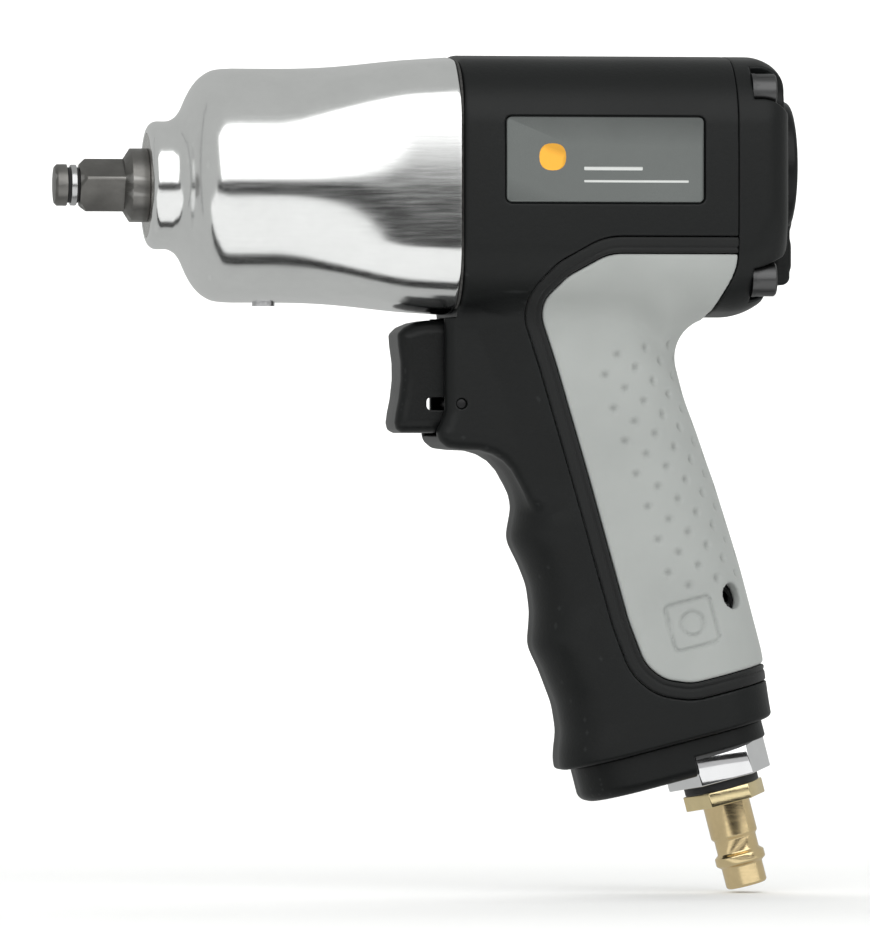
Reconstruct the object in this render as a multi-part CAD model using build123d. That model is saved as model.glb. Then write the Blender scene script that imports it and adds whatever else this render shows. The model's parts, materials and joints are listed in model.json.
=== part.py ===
"""Pneumatic impact wrench with a pistol grip and a 3/8 inch square drive.

Frame: the drive axis is X, and X = 0 is the end face of the square drive.
X grows towards the rear cap, Z is up, and the grip hangs down and leans rearwards.
Every size is in millimetres.
"""

import math
import os

from build123d import *

# ---- driving dimensions -------------------------------------------------------------

# square drive and anvil
DRIVE_SQUARE = 9.53          # across flats, 3/8 inch drive
DRIVE_CORNER_R = 6.4         # rounded corners of the square
DRIVE_TURN = 14.0            # how far the corners are turned from the side, degrees
DRIVE_TIP_R = 4.95
SQUARE_FROM, SQUARE_TO = 5.9, 17.0
COLLAR_R, COLLAR_FROM, COLLAR_TO = 8.75, 18.0, 22.3
JOURNAL_R = 8.0
RUNNING_GAP = 0.04           # radial clearance of a shaft in its bush

# hammer case
CASE_FRONT, CASE_BACK = 22.0, 93.5
NOSE_R = 15.2
CASE_R = 27.9
CASE_CAVITY_R = 25.0
CASE_CAVITY_FROM = 46.0
DRUM_END = 54.0              # where the round drum starts to turn square

# motor housing barrel
BARREL_FRONT, BARREL_BACK = 94.0, 159.5
BARREL_HALF_Y, BARREL_HALF_Z, BARREL_CORNER = 29.6, 31.1, 14.5
MOTOR_BORE_R = 26.0
SCREW_OFFSET = 22.3          # long cap screws, in Y and in Z
SCREW_R, SCREW_HOLE_R = 2.45, 2.6

# rear cap and selector
CAP_BACK = 172.5
SELECTOR_Z = 4.9
SELECTOR_R = 15.7
SELECTOR_BACK = 176.8
RECESS_BACK = 167.4          # cap face behind the selector's tab

# grip, measured along its own leaning axis
GRIP_LEAN = 14.5             # degrees from vertical
GRIP_TOP_X = 111.7           # where the grip's axis meets the drive axis
GRIP_END = 137.0
GRIP_HALF_WIDTH = 18.5
SKIN = 2.5                   # thickness of the soft grip insert

# trigger and throttle
TRIGGER_HALF_WIDTH = 10.5
TRIGGER_TRAVEL = 6.0
THROTTLE_Z = -44.0
TRIGGER_PIN_X, TRIGGER_PIN_Z, TRIGGER_PIN_R = 95.3, -51.8, 1.25
CHAMBER_R = 6.5
STEM_R = 2.5

# air inlet, along the grip's axis
INLET_OFFSET = 11.4
DEFLECTOR_END = 146.0
HEX_FROM, HEX_TO = 141.3, 148.9
NIPPLE_HEX_FROM, NIPPLE_HEX_TO = 151.0, 154.6

# motor
CYLINDER_FROM, CYLINDER_TO = 102.0, 142.0
ROTOR_R, LINER_R, LINER_DROP = 17.6, 19.5, 1.6
VANES = 6

# hammer mechanism
PIN_CIRCLE, PIN_R = 20.0, 3.0
CAGE_R = 24.2
HAMMER_R, HAMMER_HOLE_R, DOG_R = 19.6, 12.4, 9.2
LUG_SPREAD = 40.0            # angle that each of the anvil's lugs takes up, degrees

lean = math.radians(GRIP_LEAN)
GRIP = Plane(origin=(GRIP_TOP_X, 0, 0), x_dir=(math.cos(lean), 0, math.sin(lean)),
             z_dir=(math.sin(lean), 0, -math.cos(lean)))


# ---- building blocks ----------------------------------------------------------------

def across(x):
    """The plane square to the drive axis at x, with Y to its right and Z up."""
    return Plane(origin=(x, 0, 0), x_dir=(0, 1, 0), z_dir=(1, 0, 0))


def rod(radius, start, end, y=0.0, z=0.0):
    """A round bar along the drive axis."""
    return extrude(across(start) * Pos(y, z) * Circle(radius), end - start)


def ring(outer, inner, start, end, y=0.0, z=0.0):
    """A round tube along the drive axis."""
    return extrude(across(start) * Pos(y, z) * (Circle(outer) - Circle(inner)), end - start)


def squircle_bar(half_y, half_z, corner, start, end):
    """A bar along the drive axis with a rounded square section."""
    return extrude(across(start) * RectangleRounded(2 * half_y, 2 * half_z, corner), end - start)


def turned(points, radii=None):
    """A solid turned about the drive axis from an (x, radius) outline that starts and ends on it."""
    if radii:
        outline = FilletPolyline(*points, radius=radii)
    else:
        outline = Polyline(*points)
    face = make_face([outline, Line(outline @ 1, outline @ 0)])
    return revolve(Plane.XZ * face, Axis.X)


def grip_rod(radius, start, end, offset=0.0, side=0.0):
    """A round bar along the grip's axis."""
    return GRIP * Pos(offset, side, start) * extrude(Circle(radius), end - start)


def grip_hex(across_flats, start, end, offset=0.0):
    """A hexagonal bar along the grip's axis, with flats towards both sides."""
    corner = across_flats / math.sqrt(3)
    return GRIP * Pos(offset, 0, start) * extrude(RegularPolygon(corner, 6), end - start)


def side_prism(outline, half_width):
    """A side view outline in X and Z, given its thickness in Y."""
    face = Plane.XZ * make_face(outline)
    return extrude(face, half_width, both=True)


def four_corners(make):
    """One solid at each of the long cap screws."""
    return [make(y * SCREW_OFFSET, z * SCREW_OFFSET) for y in (-1, 1) for z in (-1, 1)]


def write(name, *solids):
    """Writes a node's STEP file."""
    flat = [s for item in solids for s in item.solids()]
    shape = flat[0] if len(flat) == 1 else Compound(children=flat)
    shape.label = name
    export_step(shape, f"parts/{name}.step")


# ---- drive end ----------------------------------------------------------------------

def lug(angle, start, end):
    """The striking lug on the anvil that one hammer meets."""
    end_of_sector = Vector(20, 0).rotate(Axis.Z, LUG_SPREAD)
    sector = Polyline((0, 0), (20, 0), (end_of_sector.X, end_of_sector.Y), (0, 0))
    wedge = make_face(sector)
    piece = Circle(11.0) & (Rot(0, 0, angle) * wedge)
    return extrude(across(start) * piece, end - start)


def make_anvil():
    tip = turned([(0, 0), (0, DRIVE_TIP_R - 0.6), (0.6, DRIVE_TIP_R), (2.9, DRIVE_TIP_R), (2.9, 3.6),
                  (SQUARE_FROM, 3.6), (SQUARE_FROM, 0)])
    limits = turned([(SQUARE_FROM, 0), (SQUARE_FROM, DRIVE_TIP_R), (7.4, DRIVE_CORNER_R),
                     (SQUARE_TO + 1, DRIVE_CORNER_R), (SQUARE_TO + 1, 0)])
    side = Rot(0, 0, 45 - DRIVE_TURN) * Rectangle(DRIVE_SQUARE, DRIVE_SQUARE)
    square = extrude(across(SQUARE_FROM) * side, SQUARE_TO + 1 - SQUARE_FROM)
    shoulder = COLLAR_TO - 0.3
    collar = turned([(16.4, 0), (16.4, 6.3), (COLLAR_FROM, COLLAR_R), (shoulder, COLLAR_R),
                     (shoulder, JOURNAL_R), (51, JOURNAL_R), (51, 7.8), (74, 7.8),
                     (74, 4.0), (79.5, 4.0), (79.5, 0)])
    anvil = tip + (square & limits) + collar
    anvil += lug(118, 52.2, 61.8)
    anvil += lug(118 + 180, 63.6, 73.2)
    write("anvil", anvil)


def make_drive_retainer():
    write("drive_o_ring", ring(4.2, 3.6, 3.0, 5.8))
    gap = Pos(4.5, 0, 4.6) * Box(3, 1.2, 3)
    write("friction_ring", ring(4.9, 4.2, 3.8, 5.2) - gap)


def case_section(x):
    """The hammer case's outside at x, which turns from a circle into a rounded square."""
    part = (x - DRUM_END) / (CASE_BACK - DRUM_END)
    ease = max(0.0, part) ** 2 * (3 - 2 * part)
    half_y, half_z = CASE_R + 1.2 * ease, CASE_R + 2.7 * max(0.0, part)
    return across(x) * RectangleRounded(2 * half_y, 2 * half_z, CASE_R - 0.06 - 13.8 * ease)


def make_hammer_case():
    drum = turned([(CASE_FRONT, 0), (CASE_FRONT, NOSE_R), (29.6, NOSE_R), (33.4, 27.6), (DRUM_END, CASE_R),
                   (DRUM_END, 0)], [2.4, 5.0, 7.0, 0.01])
    stations = [DRUM_END - 0.3 + i * (CASE_BACK - DRUM_END + 0.3) / 9 for i in range(10)]
    flare = loft(Sketch() + [case_section(x) for x in stations], ruled=True)
    case = drum + flare
    case -= rod(12.3, CASE_FRONT - 1, 25.0)
    case -= rod(11.0, CASE_FRONT, 45.0)
    case -= rod(JOURNAL_R + 0.6, 44.0, 47.0)
    case -= rod(CASE_CAVITY_R, CASE_CAVITY_FROM, CASE_BACK + 1)
    for hole in four_corners(lambda y, z: rod(SCREW_R, 82, CASE_BACK + 1, y, z)):
        case -= hole
    case -= Pos(50.0, 0, -26.0) * Cylinder(2.0, 8)
    write("hammer_case", case)
    write("oil_plug", Pos(50.0, 0, -26.8) * Cylinder(2.0, 3.6) + Pos(50.0, 0, -28.9) * Cylinder(2.7, 1.0)
          - Pos(50.0, 0, -29.3) * Box(3.6, 0.7, 0.8))
    bore = JOURNAL_R + RUNNING_GAP
    bushing = ring(11.0, bore, 25.0, 44.0) + ring(12.3, bore, 22.1, 25.0)
    write("anvil_bushing", bushing)


def make_hammers():
    pin_groove = PIN_R + 0.08
    swing_room = 2.4
    for name, side, start in (("front_hammer", 1, 52.0), ("rear_hammer", -1, 63.4)):
        dog = Circle(HAMMER_HOLE_R + 0.5) & (Pos(0, side * 12) * Rectangle(7.2, 24)) - Circle(DOG_R)
        body = Circle(HAMMER_R) - Circle(HAMMER_HOLE_R) + dog
        body -= Pos(0, side * PIN_CIRCLE) * Circle(pin_groove)
        body -= Pos(0, -side * (PIN_CIRCLE + 1)) * Rectangle(2 * (pin_groove + swing_room), 2 * 4.5)
        write(name, extrude(across(start) * body, 10.0))
    write("hammer_pins", rod(PIN_R, 47.5, 79.5, z=PIN_CIRCLE), rod(PIN_R, 47.5, 79.5, z=-PIN_CIRCLE))
    cage = ring(CAGE_R, JOURNAL_R + 0.5, 47.0, 51.0) + rod(CAGE_R, 75.0, 80.0) + rod(12.0, 80.0, 87.0)
    pillars = ring(CAGE_R, 21.0, 51.0, 75.0) & (Pos(63, 0, 0) * Box(30, 60, 21))
    cage += pillars
    hex_socket = extrude(across(74) * RegularPolygon(12.04 / math.sqrt(3), 6), 14)
    cage -= hex_socket
    for z in (PIN_CIRCLE, -PIN_CIRCLE):
        cage -= rod(PIN_R, 47.5, 79.5, z=z)
    write("hammer_cage", cage)


# ---- motor --------------------------------------------------------------------------

def make_bearing(name, start, end, shaft_r, outer_r, pitch_r, ball_r, balls):
    """A deep groove ball bearing: two races and their balls."""
    middle = (start + end) / 2
    groove = Plane.YZ.offset(middle) * Torus(pitch_r, ball_r + 0.04)
    half = ball_r - 0.1
    write(f"{name}_inner", ring(pitch_r - half + 0.6, shaft_r, start, end) - groove)
    write(f"{name}_outer", ring(outer_r, pitch_r + half - 0.6, start, end) - groove)
    turns = [2 * math.pi * i / balls for i in range(balls)]
    write(f"{name}_balls", *[Pos(middle, pitch_r * math.sin(a), pitch_r * math.cos(a)) * Sphere(ball_r)
                             for a in turns])


def make_motor():
    plate = rod(MOTOR_BORE_R - 0.05, BARREL_FRONT, CYLINDER_FROM) - rod(12.0, BARREL_FRONT - 1, 100.0)
    write("front_end_plate", plate - rod(7.5, 99, 103))
    plate = rod(MOTOR_BORE_R - 0.05, CYLINDER_TO, 151.0) - rod(11.0, 144.0, 152.0)
    plate -= rod(7.5, 141, 145) + rod(1.5, 141, CYLINDER_TO + 4, z=23)
    for angle in (-35, 35):
        plate -= rod(2.2, 141, 152, 21 * math.sin(math.radians(angle)), -21 * math.cos(math.radians(angle)))
    write("rear_end_plate", plate)
    liner = rod(MOTOR_BORE_R - 0.05, CYLINDER_FROM, CYLINDER_TO)
    liner -= rod(LINER_R, CYLINDER_FROM - 1, CYLINDER_TO + 1, z=-LINER_DROP)
    for step in range(5):
        liner -= Pos(108 + 7 * step, 0, -22) * Cylinder(1.6, 16)
    liner -= rod(1.5, CYLINDER_TO - 6, CYLINDER_TO + 1, z=23)
    write("motor_cylinder", liner)
    write("cylinder_dowel", rod(1.5, CYLINDER_TO - 6, CYLINDER_TO + 4, z=23))
    turns = [360 / VANES * i for i in range(VANES)]
    rotor = rod(ROTOR_R, CYLINDER_FROM + 0.2, CYLINDER_TO - 0.2)
    rotor += rod(6.0, 88.0, CYLINDER_FROM + 1) + rod(5.0, CYLINDER_TO - 1, 150.8)
    rotor += extrude(across(76) * RegularPolygon(12.0 / math.sqrt(3), 6), 12)
    slot = Pos(122, 0, 12.6) * Box(60, 2.1, 10.4)
    vane = Pos(122, 0, 13.2) * Box(39.4, 1.96, 8.6)
    for angle in turns:
        rotor -= Rot(angle, 0, 0) * slot & rod(ROTOR_R + 1, CYLINDER_FROM, CYLINDER_TO)
    rotor -= rod(4.0 + RUNNING_GAP, 75, 80)
    write("rotor", rotor)
    write("rotor_vanes", *[Rot(angle, 0, 0) * vane for angle in turns])
    make_bearing("front_bearing", 94.0, 100.0, 6.0, 12.0, 9.0, 1.9, 8)
    make_bearing("rear_bearing", 144.0, 151.0, 5.0, 11.0, 8.0, 1.9, 7)


# ---- housing and grip ---------------------------------------------------------------

# grip stations: distance down the grip, front edge, back edge
GRIP_STATIONS = [
    (26.0, -24.0, 26.0), (48.0, -22.0, 25.2), (68.0, -19.9, 26.0), (75.0, -21.3, 26.6),
    (80.7, -23.6, 27.0), (87.0, -22.5, 27.4), (93.0, -21.9, 27.7), (99.5, -23.0, 27.9),
    (106.3, -25.0, 28.0), (113.0, -23.8, 28.0), (122.0, -23.0, 27.8), (130.0, -24.4, 27.2),
    (GRIP_END, -26.3, 26.6)]


def grip_section(station, inset):
    """The grip's rounded section at one station, drawn in from the surface by inset."""
    down, front, back = station
    width = 2 * (GRIP_HALF_WIDTH - inset)
    depth = back - front - 2 * inset
    return GRIP * Pos((front + back) / 2, 0, down) * RectangleRounded(depth, width, 15.5 - inset)


def eased(before, here, there, after, part):
    """A smooth value between here and there, led by the neighbours on both sides."""
    lead, trail = (there - before) / 2, (after - here) / 2
    return (here + part * lead + part ** 2 * (3 * (there - here) - 2 * lead - trail)
            + part ** 3 * (2 * (here - there) + lead + trail))


def fine_stations(steps=3):
    """The grip stations with eased ones in between, so the waves of the grip come out round."""
    padded = [GRIP_STATIONS[0]] + GRIP_STATIONS + [GRIP_STATIONS[-1]]
    fine = []
    for i in range(1, len(padded) - 2):
        four = list(zip(*padded[i - 1:i + 3]))
        fine += [tuple(eased(*values, step / steps) for values in four) for step in range(steps)]
    return fine + [GRIP_STATIONS[-1]]


def grip_body(inset=0.0):
    """The whole grip, cut off level inside the barrel."""
    body = loft(Sketch() + [grip_section(station, inset) for station in fine_stations()], ruled=True)
    return body - Pos(0, 0, 60) * Box(400, 100, 160)


def saddle(inset=0.0):
    """The web that runs from the barrel's underside into the back of the grip."""
    top = (BARREL_BACK - inset, -24.0)
    bottom = (149.5 - inset, -41.0)
    outline = [Line((126, -24), top), Line(top, (BARREL_BACK - inset, -30.8 + inset)),
               ThreePointArc((BARREL_BACK - inset, -30.8 + inset), (151.9 - inset, -34.2), bottom),
               Line(bottom, (126, -41)), Line((126, -41), (126, -24))]
    return side_prism(outline, 16.0 - inset)


def trigger_block():
    """The box in front of the grip that the trigger slides into."""
    corner = [(92.0, -26.0), (92.0, -54.0), (90.2, -59.6), (92.6, -63.0), (100.0, -63.2)]
    edge = FilletPolyline(*corner, radius=[8.0, 1.4, 1.6])
    arc = ThreePointArc((100.0, -63.2), (107.2, -66.4), (110.6, -74.0))
    outline = [edge, arc, Polyline((110.6, -74.0), (126, -74), (126, -26), (92, -26))]
    block = side_prism(outline, 16.0)
    front = block.edges().filter_by(lambda e: e.center().X < 93.5 and e.length > 20)
    upright = front.filter_by(lambda e: abs(e.center().Y) > 15.9)
    return fillet(upright, 4.0)


def insert_zone(grow):
    """Side view outline of the soft grip insert, grown outwards by grow."""
    points = [(BARREL_BACK + 0.1, -16.3 + grow), (125.5 - 0.5 * grow, -16.3 + grow), (113.8 - grow, -28.5),
              (115.0 - grow, -36.5), (133.5 - 1.1 * grow, -104.0), (138.0 - grow, -120.4 - grow),
              (152.0, -118.2 - 1.1 * grow), (178.0, -111.5 - 1.1 * grow), (178.0, -31.0)]
    edge = FilletPolyline(*points, radius=[10.0, 8.0, 20.0, 16.0, 10.0, 20.0, 1.0])
    return side_prism([edge, Line(edge @ 1, (BARREL_BACK + 0.1, -31.0)),
                       Line((BARREL_BACK + 0.1, -31.0), edge @ 0)], 45.0)


def screw_well(side, radius, depth):
    """The well of a grip screw, sunk square to the rounded back corner of the grip."""
    turn = math.radians(45)
    face = (12.0 + 15.5 * math.cos(turn), side * (3.0 + 15.5 * math.sin(turn)), 106.5)
    out = (math.cos(turn), side * math.sin(turn), 0)
    local = Plane(origin=face, z_dir=out)
    hang = (Align.CENTER, Align.CENTER, Align.MAX)
    return GRIP * (local * Pos(0, 0, 2.0) * Cylinder(radius, depth + 2.0, align=hang))


def make_housing():
    barrel = squircle_bar(BARREL_HALF_Y, BARREL_HALF_Z, BARREL_CORNER, BARREL_FRONT, BARREL_BACK)
    outer = barrel + grip_body() + saddle() + trigger_block()
    core = squircle_bar(BARREL_HALF_Y - SKIN, BARREL_HALF_Z - SKIN, BARREL_CORNER - SKIN, BARREL_FRONT,
                        BARREL_BACK + 1)
    core += grip_body(SKIN) + saddle(SKIN)
    shell = (outer & insert_zone(3.4)) - core
    wells = [screw_well(side, 3.2, 4.5) for side in (-1, 1)]
    insert = shell & insert_zone(0.0)
    frame = shell - insert_zone(0.0)
    body = outer - shell - Pos(BARREL_FRONT - 10, 0, 0) * Box(20, 100, 63.0)
    body -= rod(MOTOR_BORE_R, BARREL_FRONT - 1, BARREL_BACK + 1)
    for hole in four_corners(lambda y, z: rod(SCREW_HOLE_R, BARREL_FRONT - 1, BARREL_BACK + 1, y, z)):
        body -= hole
    plate_pocket = Pos(127.6, 0, 5.7) * Box(47.4, 2 * BARREL_HALF_Y + 1, 20.4)
    plate_pocket -= Pos(127.6, 0, 5.7) * Box(60, 2 * BARREL_HALF_Y - 2.0, 30)
    body -= plate_pocket
    body -= Pos((90 + 105.2) / 2, 0, (-30.8 - 59.2) / 2) * Box(15.2, 2 * TRIGGER_HALF_WIDTH + 1.0, 28.4)
    body -= rod(CHAMBER_R, 104, 142, z=THROTTLE_Z)
    body -= Pos(TRIGGER_PIN_X, 0, TRIGGER_PIN_Z) * Rot(90, 0, 0) * Cylinder(TRIGGER_PIN_R, 40)
    body -= Pos(112, 0, -31) * Cylinder(3.2, 26)
    body -= grip_rod(5.0, 46, 125, INLET_OFFSET) + grip_rod(8.2, 118, GRIP_END + 1, INLET_OFFSET)
    for side in (-10.0, 10.0):
        body -= grip_rod(3.2, 26, GRIP_END + 1, -7.0, side)
    wells += [screw_well(side, 1.6, 9.0) for side in (-1, 1)]
    for well in wells:
        body -= well
        insert -= well
    write("motor_housing", body)
    write("grip_insert", insert)
    write("grip_frame", frame)
    write("grip_screws", *[screw_well(side, 1.6, 9.0) - screw_well(side, 4.0, 4.5)
                           + (screw_well(side, 3.0, 4.5) - screw_well(side, 4.0, 3.0)) for side in (-1, 1)])
    make_name_plates()


def make_name_plates():
    plates = []
    for side in (-1, 1):
        face = Plane(origin=(127.6, side * (BARREL_HALF_Y - 1.0), 5.7), x_dir=(1, 0, 0), z_dir=(0, side, 0))
        plates.append(extrude(face * RectangleRounded(47.0, 20.0, 1.2), 0.7))
    write("name_plates", *plates)


# ---- rear cap and selector ----------------------------------------------------------

def cap_outline():
    """The cap's outside: a rounded square bar with a generously rounded back edge."""
    bar = squircle_bar(BARREL_HALF_Y, BARREL_HALF_Z, BARREL_CORNER, BARREL_BACK, CAP_BACK)
    rim = bar.faces().sort_by(Axis.X)[-1].edges()
    return fillet(rim, 7.0)


def tab_room(start, end):
    """The room under the selector that its thumb tab swings in."""
    spread = 46.0
    fan = [(math.sin(math.radians(a)) * 60, -math.cos(math.radians(a)) * 60) for a in (-spread, 0, spread)]
    wedge = make_face(Polyline((0, 0), fan[0], fan[1], fan[2], (0, 0)))
    return extrude(across(start) * Pos(0, SELECTOR_Z) * (wedge - Circle(SELECTOR_R)), end - start)


def make_rear_cap():
    cap = cap_outline() - tab_room(RECESS_BACK, CAP_BACK + 1)
    cap += ring(MOTOR_BORE_R - 0.1, 22.0, 151.0, BARREL_BACK)
    cap += rod(12.5, 153.0, BARREL_BACK + 1, z=SELECTOR_Z)
    cap -= rod(22.0, BARREL_BACK - 1, 163.0) - rod(12.5, 150, 164, z=SELECTOR_Z)
    cap -= rod(9.0, 152, CAP_BACK + 1, z=SELECTOR_Z)
    for y in (-1, 1):
        for z in (-1, 1):
            cap -= rod(SCREW_HOLE_R, BARREL_BACK - 1, 165, y * SCREW_OFFSET, z * SCREW_OFFSET)
            cap -= rod(5.0, 163.5, CAP_BACK + 1, y * SCREW_OFFSET, z * SCREW_OFFSET)
            cap -= rod(5.0, 163.5, CAP_BACK + 1, y * (SCREW_OFFSET + 4), z * (SCREW_OFFSET + 4))
    write("rear_cap", cap)
    write("valve_sleeve", ring(9.0, 7.04, 153.5, CAP_BACK, z=SELECTOR_Z))
    write("cap_washers", *four_corners(lambda y, z: ring(4.2, SCREW_HOLE_R, 163.5, 164.4, y, z)))
    socket = extrude(across(166.2) * RegularPolygon(4.0 / math.sqrt(3), 6), 6)

    def cap_screw(y, z):
        return rod(SCREW_R, 84, 165, y, z) + rod(4.1, 164.4, 169.4, y, z) - Pos(0, y, z) * socket

    write("cap_screws", *four_corners(cap_screw))


def make_selector():
    disc = rod(SELECTOR_R, CAP_BACK + 0.2, SELECTOR_BACK, z=SELECTOR_Z)
    disc = fillet(disc.faces().sort_by(Axis.X)[-1].edges(), 1.6)
    arm = Pos(174.6, 0, -13.0) * Box(3.9, 11.0, 14.0)
    tab = Pos(171.9, 0, -19.2) * Box(8.4, 12.0, 8.4)
    tab = fillet(tab.edges().filter_by(Axis.Y), 3.0)
    lever = disc + arm + tab
    screw_seat = rod(4.2, 174.4, SELECTOR_BACK + 1, z=SELECTOR_Z)
    stud = extrude(across(CAP_BACK + 0.1) * Pos(0, SELECTOR_Z) * Rectangle(6.0, 6.0), 2)
    lever = lever - screw_seat - stud - rod(1.6, 170, 178, z=SELECTOR_Z)
    write("selector_lever", lever)
    valve = rod(7.0, 154.0, 172.3, z=SELECTOR_Z) + extrude(
        across(172.3) * Pos(0, SELECTOR_Z) * Rectangle(5.9, 5.9), 1.7)
    valve -= ring(7.5, 6.0, 168.6, 170.4, z=SELECTOR_Z)
    valve -= Pos(159, 0, SELECTOR_Z) * Cylinder(2.4, 30)
    valve -= rod(1.6, 162, 176, z=SELECTOR_Z)
    write("reverse_valve", valve)
    write("valve_o_ring", ring(7.0, 6.0, 168.7, 170.3, z=SELECTOR_Z))
    recess = extrude(across(175.2) * Pos(0, SELECTOR_Z) * RegularPolygon(1.5, 6), 3)
    write("selector_screw", rod(1.6, 163, 175, z=SELECTOR_Z) + rod(3.6, 174.4, 176.4, z=SELECTOR_Z) - recess)


# ---- trigger and throttle -----------------------------------------------------------

def make_trigger():
    top, bottom, back = -32.0, -58.8, 98.0
    front = ThreePointArc((80.9, -36.0), (81.9, -45.5), (80.3, -56.0))
    upper = ThreePointArc((85.6, top), (82.4, -33.0), (80.9, -36.0))
    lower = ThreePointArc((80.3, -56.0), (80.6, -58.1), (82.4, bottom))
    box = Polyline((82.4, bottom), (back, bottom), (back, top), (85.6, top))
    outline = [upper, front, lower, box]
    trigger = side_prism(outline, TRIGGER_HALF_WIDTH)
    slot = Pos((87.9 + 96.7) / 2, 0, TRIGGER_PIN_Z) * Box(96.7 - 87.9, 30, 2 * TRIGGER_PIN_R + 0.3)
    hollow = Pos(93.5, 0, -38.2) * Box(10, 2 * TRIGGER_HALF_WIDTH - 5, 19.0)
    hollow -= rod(5.0, 80, 100, z=THROTTLE_Z)
    trigger = trigger - slot - hollow - rod(STEM_R, 90, back + 1, z=THROTTLE_Z)
    write("trigger", trigger)
    write("trigger_stem", rod(STEM_R, 90, 117.0, z=THROTTLE_Z))
    pin = Rot(90, 0, 0) * Cylinder(TRIGGER_PIN_R, 31.0)
    write("trigger_pin", Pos(TRIGGER_PIN_X, 0, TRIGGER_PIN_Z) * pin)


def make_throttle():
    write("throttle_bushing", ring(CHAMBER_R - 0.02, STEM_R + RUNNING_GAP, 107.5, 113.5, z=THROTTLE_Z))
    write("valve_seat", ring(CHAMBER_R - 0.02, STEM_R + 1.2, 113.6, 116.9, z=THROTTLE_Z))
    write("throttle_poppet", rod(5.2, 117.0, 120.0, z=THROTTLE_Z) + rod(2.0, 120.0, 124.0, z=THROTTLE_Z))
    coil = Helix(pitch=3.0, height=20.4, radius=3.4)
    wire = sweep((Plane(origin=coil @ 0, z_dir=coil % 0)) * Circle(0.4), path=coil)
    write("throttle_spring", Pos(120.8, 0, THROTTLE_Z) * Rot(0, 90, 0) * wire)


# ---- air inlet and exhaust ----------------------------------------------------------

def make_inlet():
    bushing = grip_rod(8.15, 119, HEX_FROM, INLET_OFFSET) + grip_hex(22.0, HEX_FROM, HEX_TO, INLET_OFFSET)
    bushing -= grip_rod(5.6, 130, HEX_TO + 1, INLET_OFFSET) + grip_rod(4.5, 118, 131, INLET_OFFSET)
    bushing -= grip_rod(9, 123, 125, INLET_OFFSET) - grip_rod(7.0, 122, 126, INLET_OFFSET)
    write("inlet_bushing", bushing)
    write("inlet_o_ring", grip_rod(8.15, 123.1, 124.9, INLET_OFFSET) - grip_rod(7.0, 122, 126, INLET_OFFSET))
    cup = grip_rod(4.4, 120, 129.6, INLET_OFFSET) - grip_rod(3.9, 120.5, 131, INLET_OFFSET)
    write("inlet_screen", cup)
    write("inlet_seal", grip_rod(9.0, HEX_TO, NIPPLE_HEX_FROM, INLET_OFFSET)
          - grip_rod(5.6, HEX_TO - 1, NIPPLE_HEX_FROM + 1, INLET_OFFSET))
    nipple = grip_rod(5.6, 136, NIPPLE_HEX_FROM, INLET_OFFSET)
    nipple += grip_hex(17.0, NIPPLE_HEX_FROM, NIPPLE_HEX_TO, INLET_OFFSET)
    top = NIPPLE_HEX_TO - 0.5
    outline = Polyline((0, top), (5.65, top), (5.65, 162.6), (5.05, 163.3), (5.05, 166.6), (6.0, 167.4),
                       (6.0, 169.2), (4.95, 170.0), (4.95, 174.6), (4.5, 175.1), (0, 175.1), (0, top))
    plug = revolve(Plane.XZ * make_face(outline), Axis.Z)
    nipple += GRIP * Pos(INLET_OFFSET, 0, 0) * plug
    nipple -= grip_rod(3.2, 135, 176, INLET_OFFSET)
    write("air_nipple", nipple)


def make_deflector():
    outside = extrude(RectangleRounded(46.5, 33.0, 14.0), DEFLECTOR_END - GRIP_END)
    plate = GRIP * Pos(0.75, 0, GRIP_END) * outside
    lower_rim = plate.faces().sort_by(Axis((0, 0, 0), (math.sin(lean), 0, -math.cos(lean))))[-1].edges()
    plate = fillet(lower_rim, 2.0)
    hex_room = grip_rod(13.2, HEX_FROM, DEFLECTOR_END + 1, INLET_OFFSET)
    hex_room += GRIP * Pos(20.0, 0, HEX_FROM + 5) * Box(32.0, 60, 10)
    plate = plate - hex_room - grip_rod(8.25, GRIP_END - 1, HEX_FROM + 1, INLET_OFFSET)
    plate -= GRIP * Pos(-10.0, 0, GRIP_END + 2.6) * Box(15.0, 24.0, 5.2)
    for step in range(5):
        plate -= GRIP * Pos(-10.0, -9.6 + 4.8 * step, DEFLECTOR_END - 2) * Box(12.0, 2.2, 6.0)
    write("exhaust_deflector", plate)
    write("exhaust_muffler", GRIP * Pos(-10.0, 0, GRIP_END + 2.5) * Box(14.8, 23.8, 4.8))


def make_gaskets():
    outline = RectangleRounded(2 * BARREL_HALF_Y - 3.4, 2 * BARREL_HALF_Z - 3.4, 12.8) - Circle(MOTOR_BORE_R)
    gasket = extrude(across(CASE_BACK) * outline, BARREL_FRONT - CASE_BACK)
    for hole in four_corners(lambda y, z: rod(SCREW_HOLE_R, CASE_BACK - 1, BARREL_FRONT + 1, y, z)):
        gasket -= hole
    write("case_gasket", gasket)
    write("end_plate_seal", ring(MOTOR_BORE_R - 0.05, CASE_CAVITY_R - 1.5, 93.0, 94.0) & rod(24.9, 90, 95))


os.makedirs("parts", exist_ok=True)
make_anvil()
make_drive_retainer()
make_hammer_case()
make_hammers()
make_motor()
make_housing()
make_rear_cap()
make_selector()
make_trigger()
make_throttle()
make_inlet()
make_deflector()
make_gaskets()
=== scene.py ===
"""Looks of a pneumatic impact wrench, laid out as an add-on and run as a script.

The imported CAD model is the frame: every piece here rides one of its bodies. Sizes are in
metres in Blender; the helper functions that work out curved shells use millimetres.
"""

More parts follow.
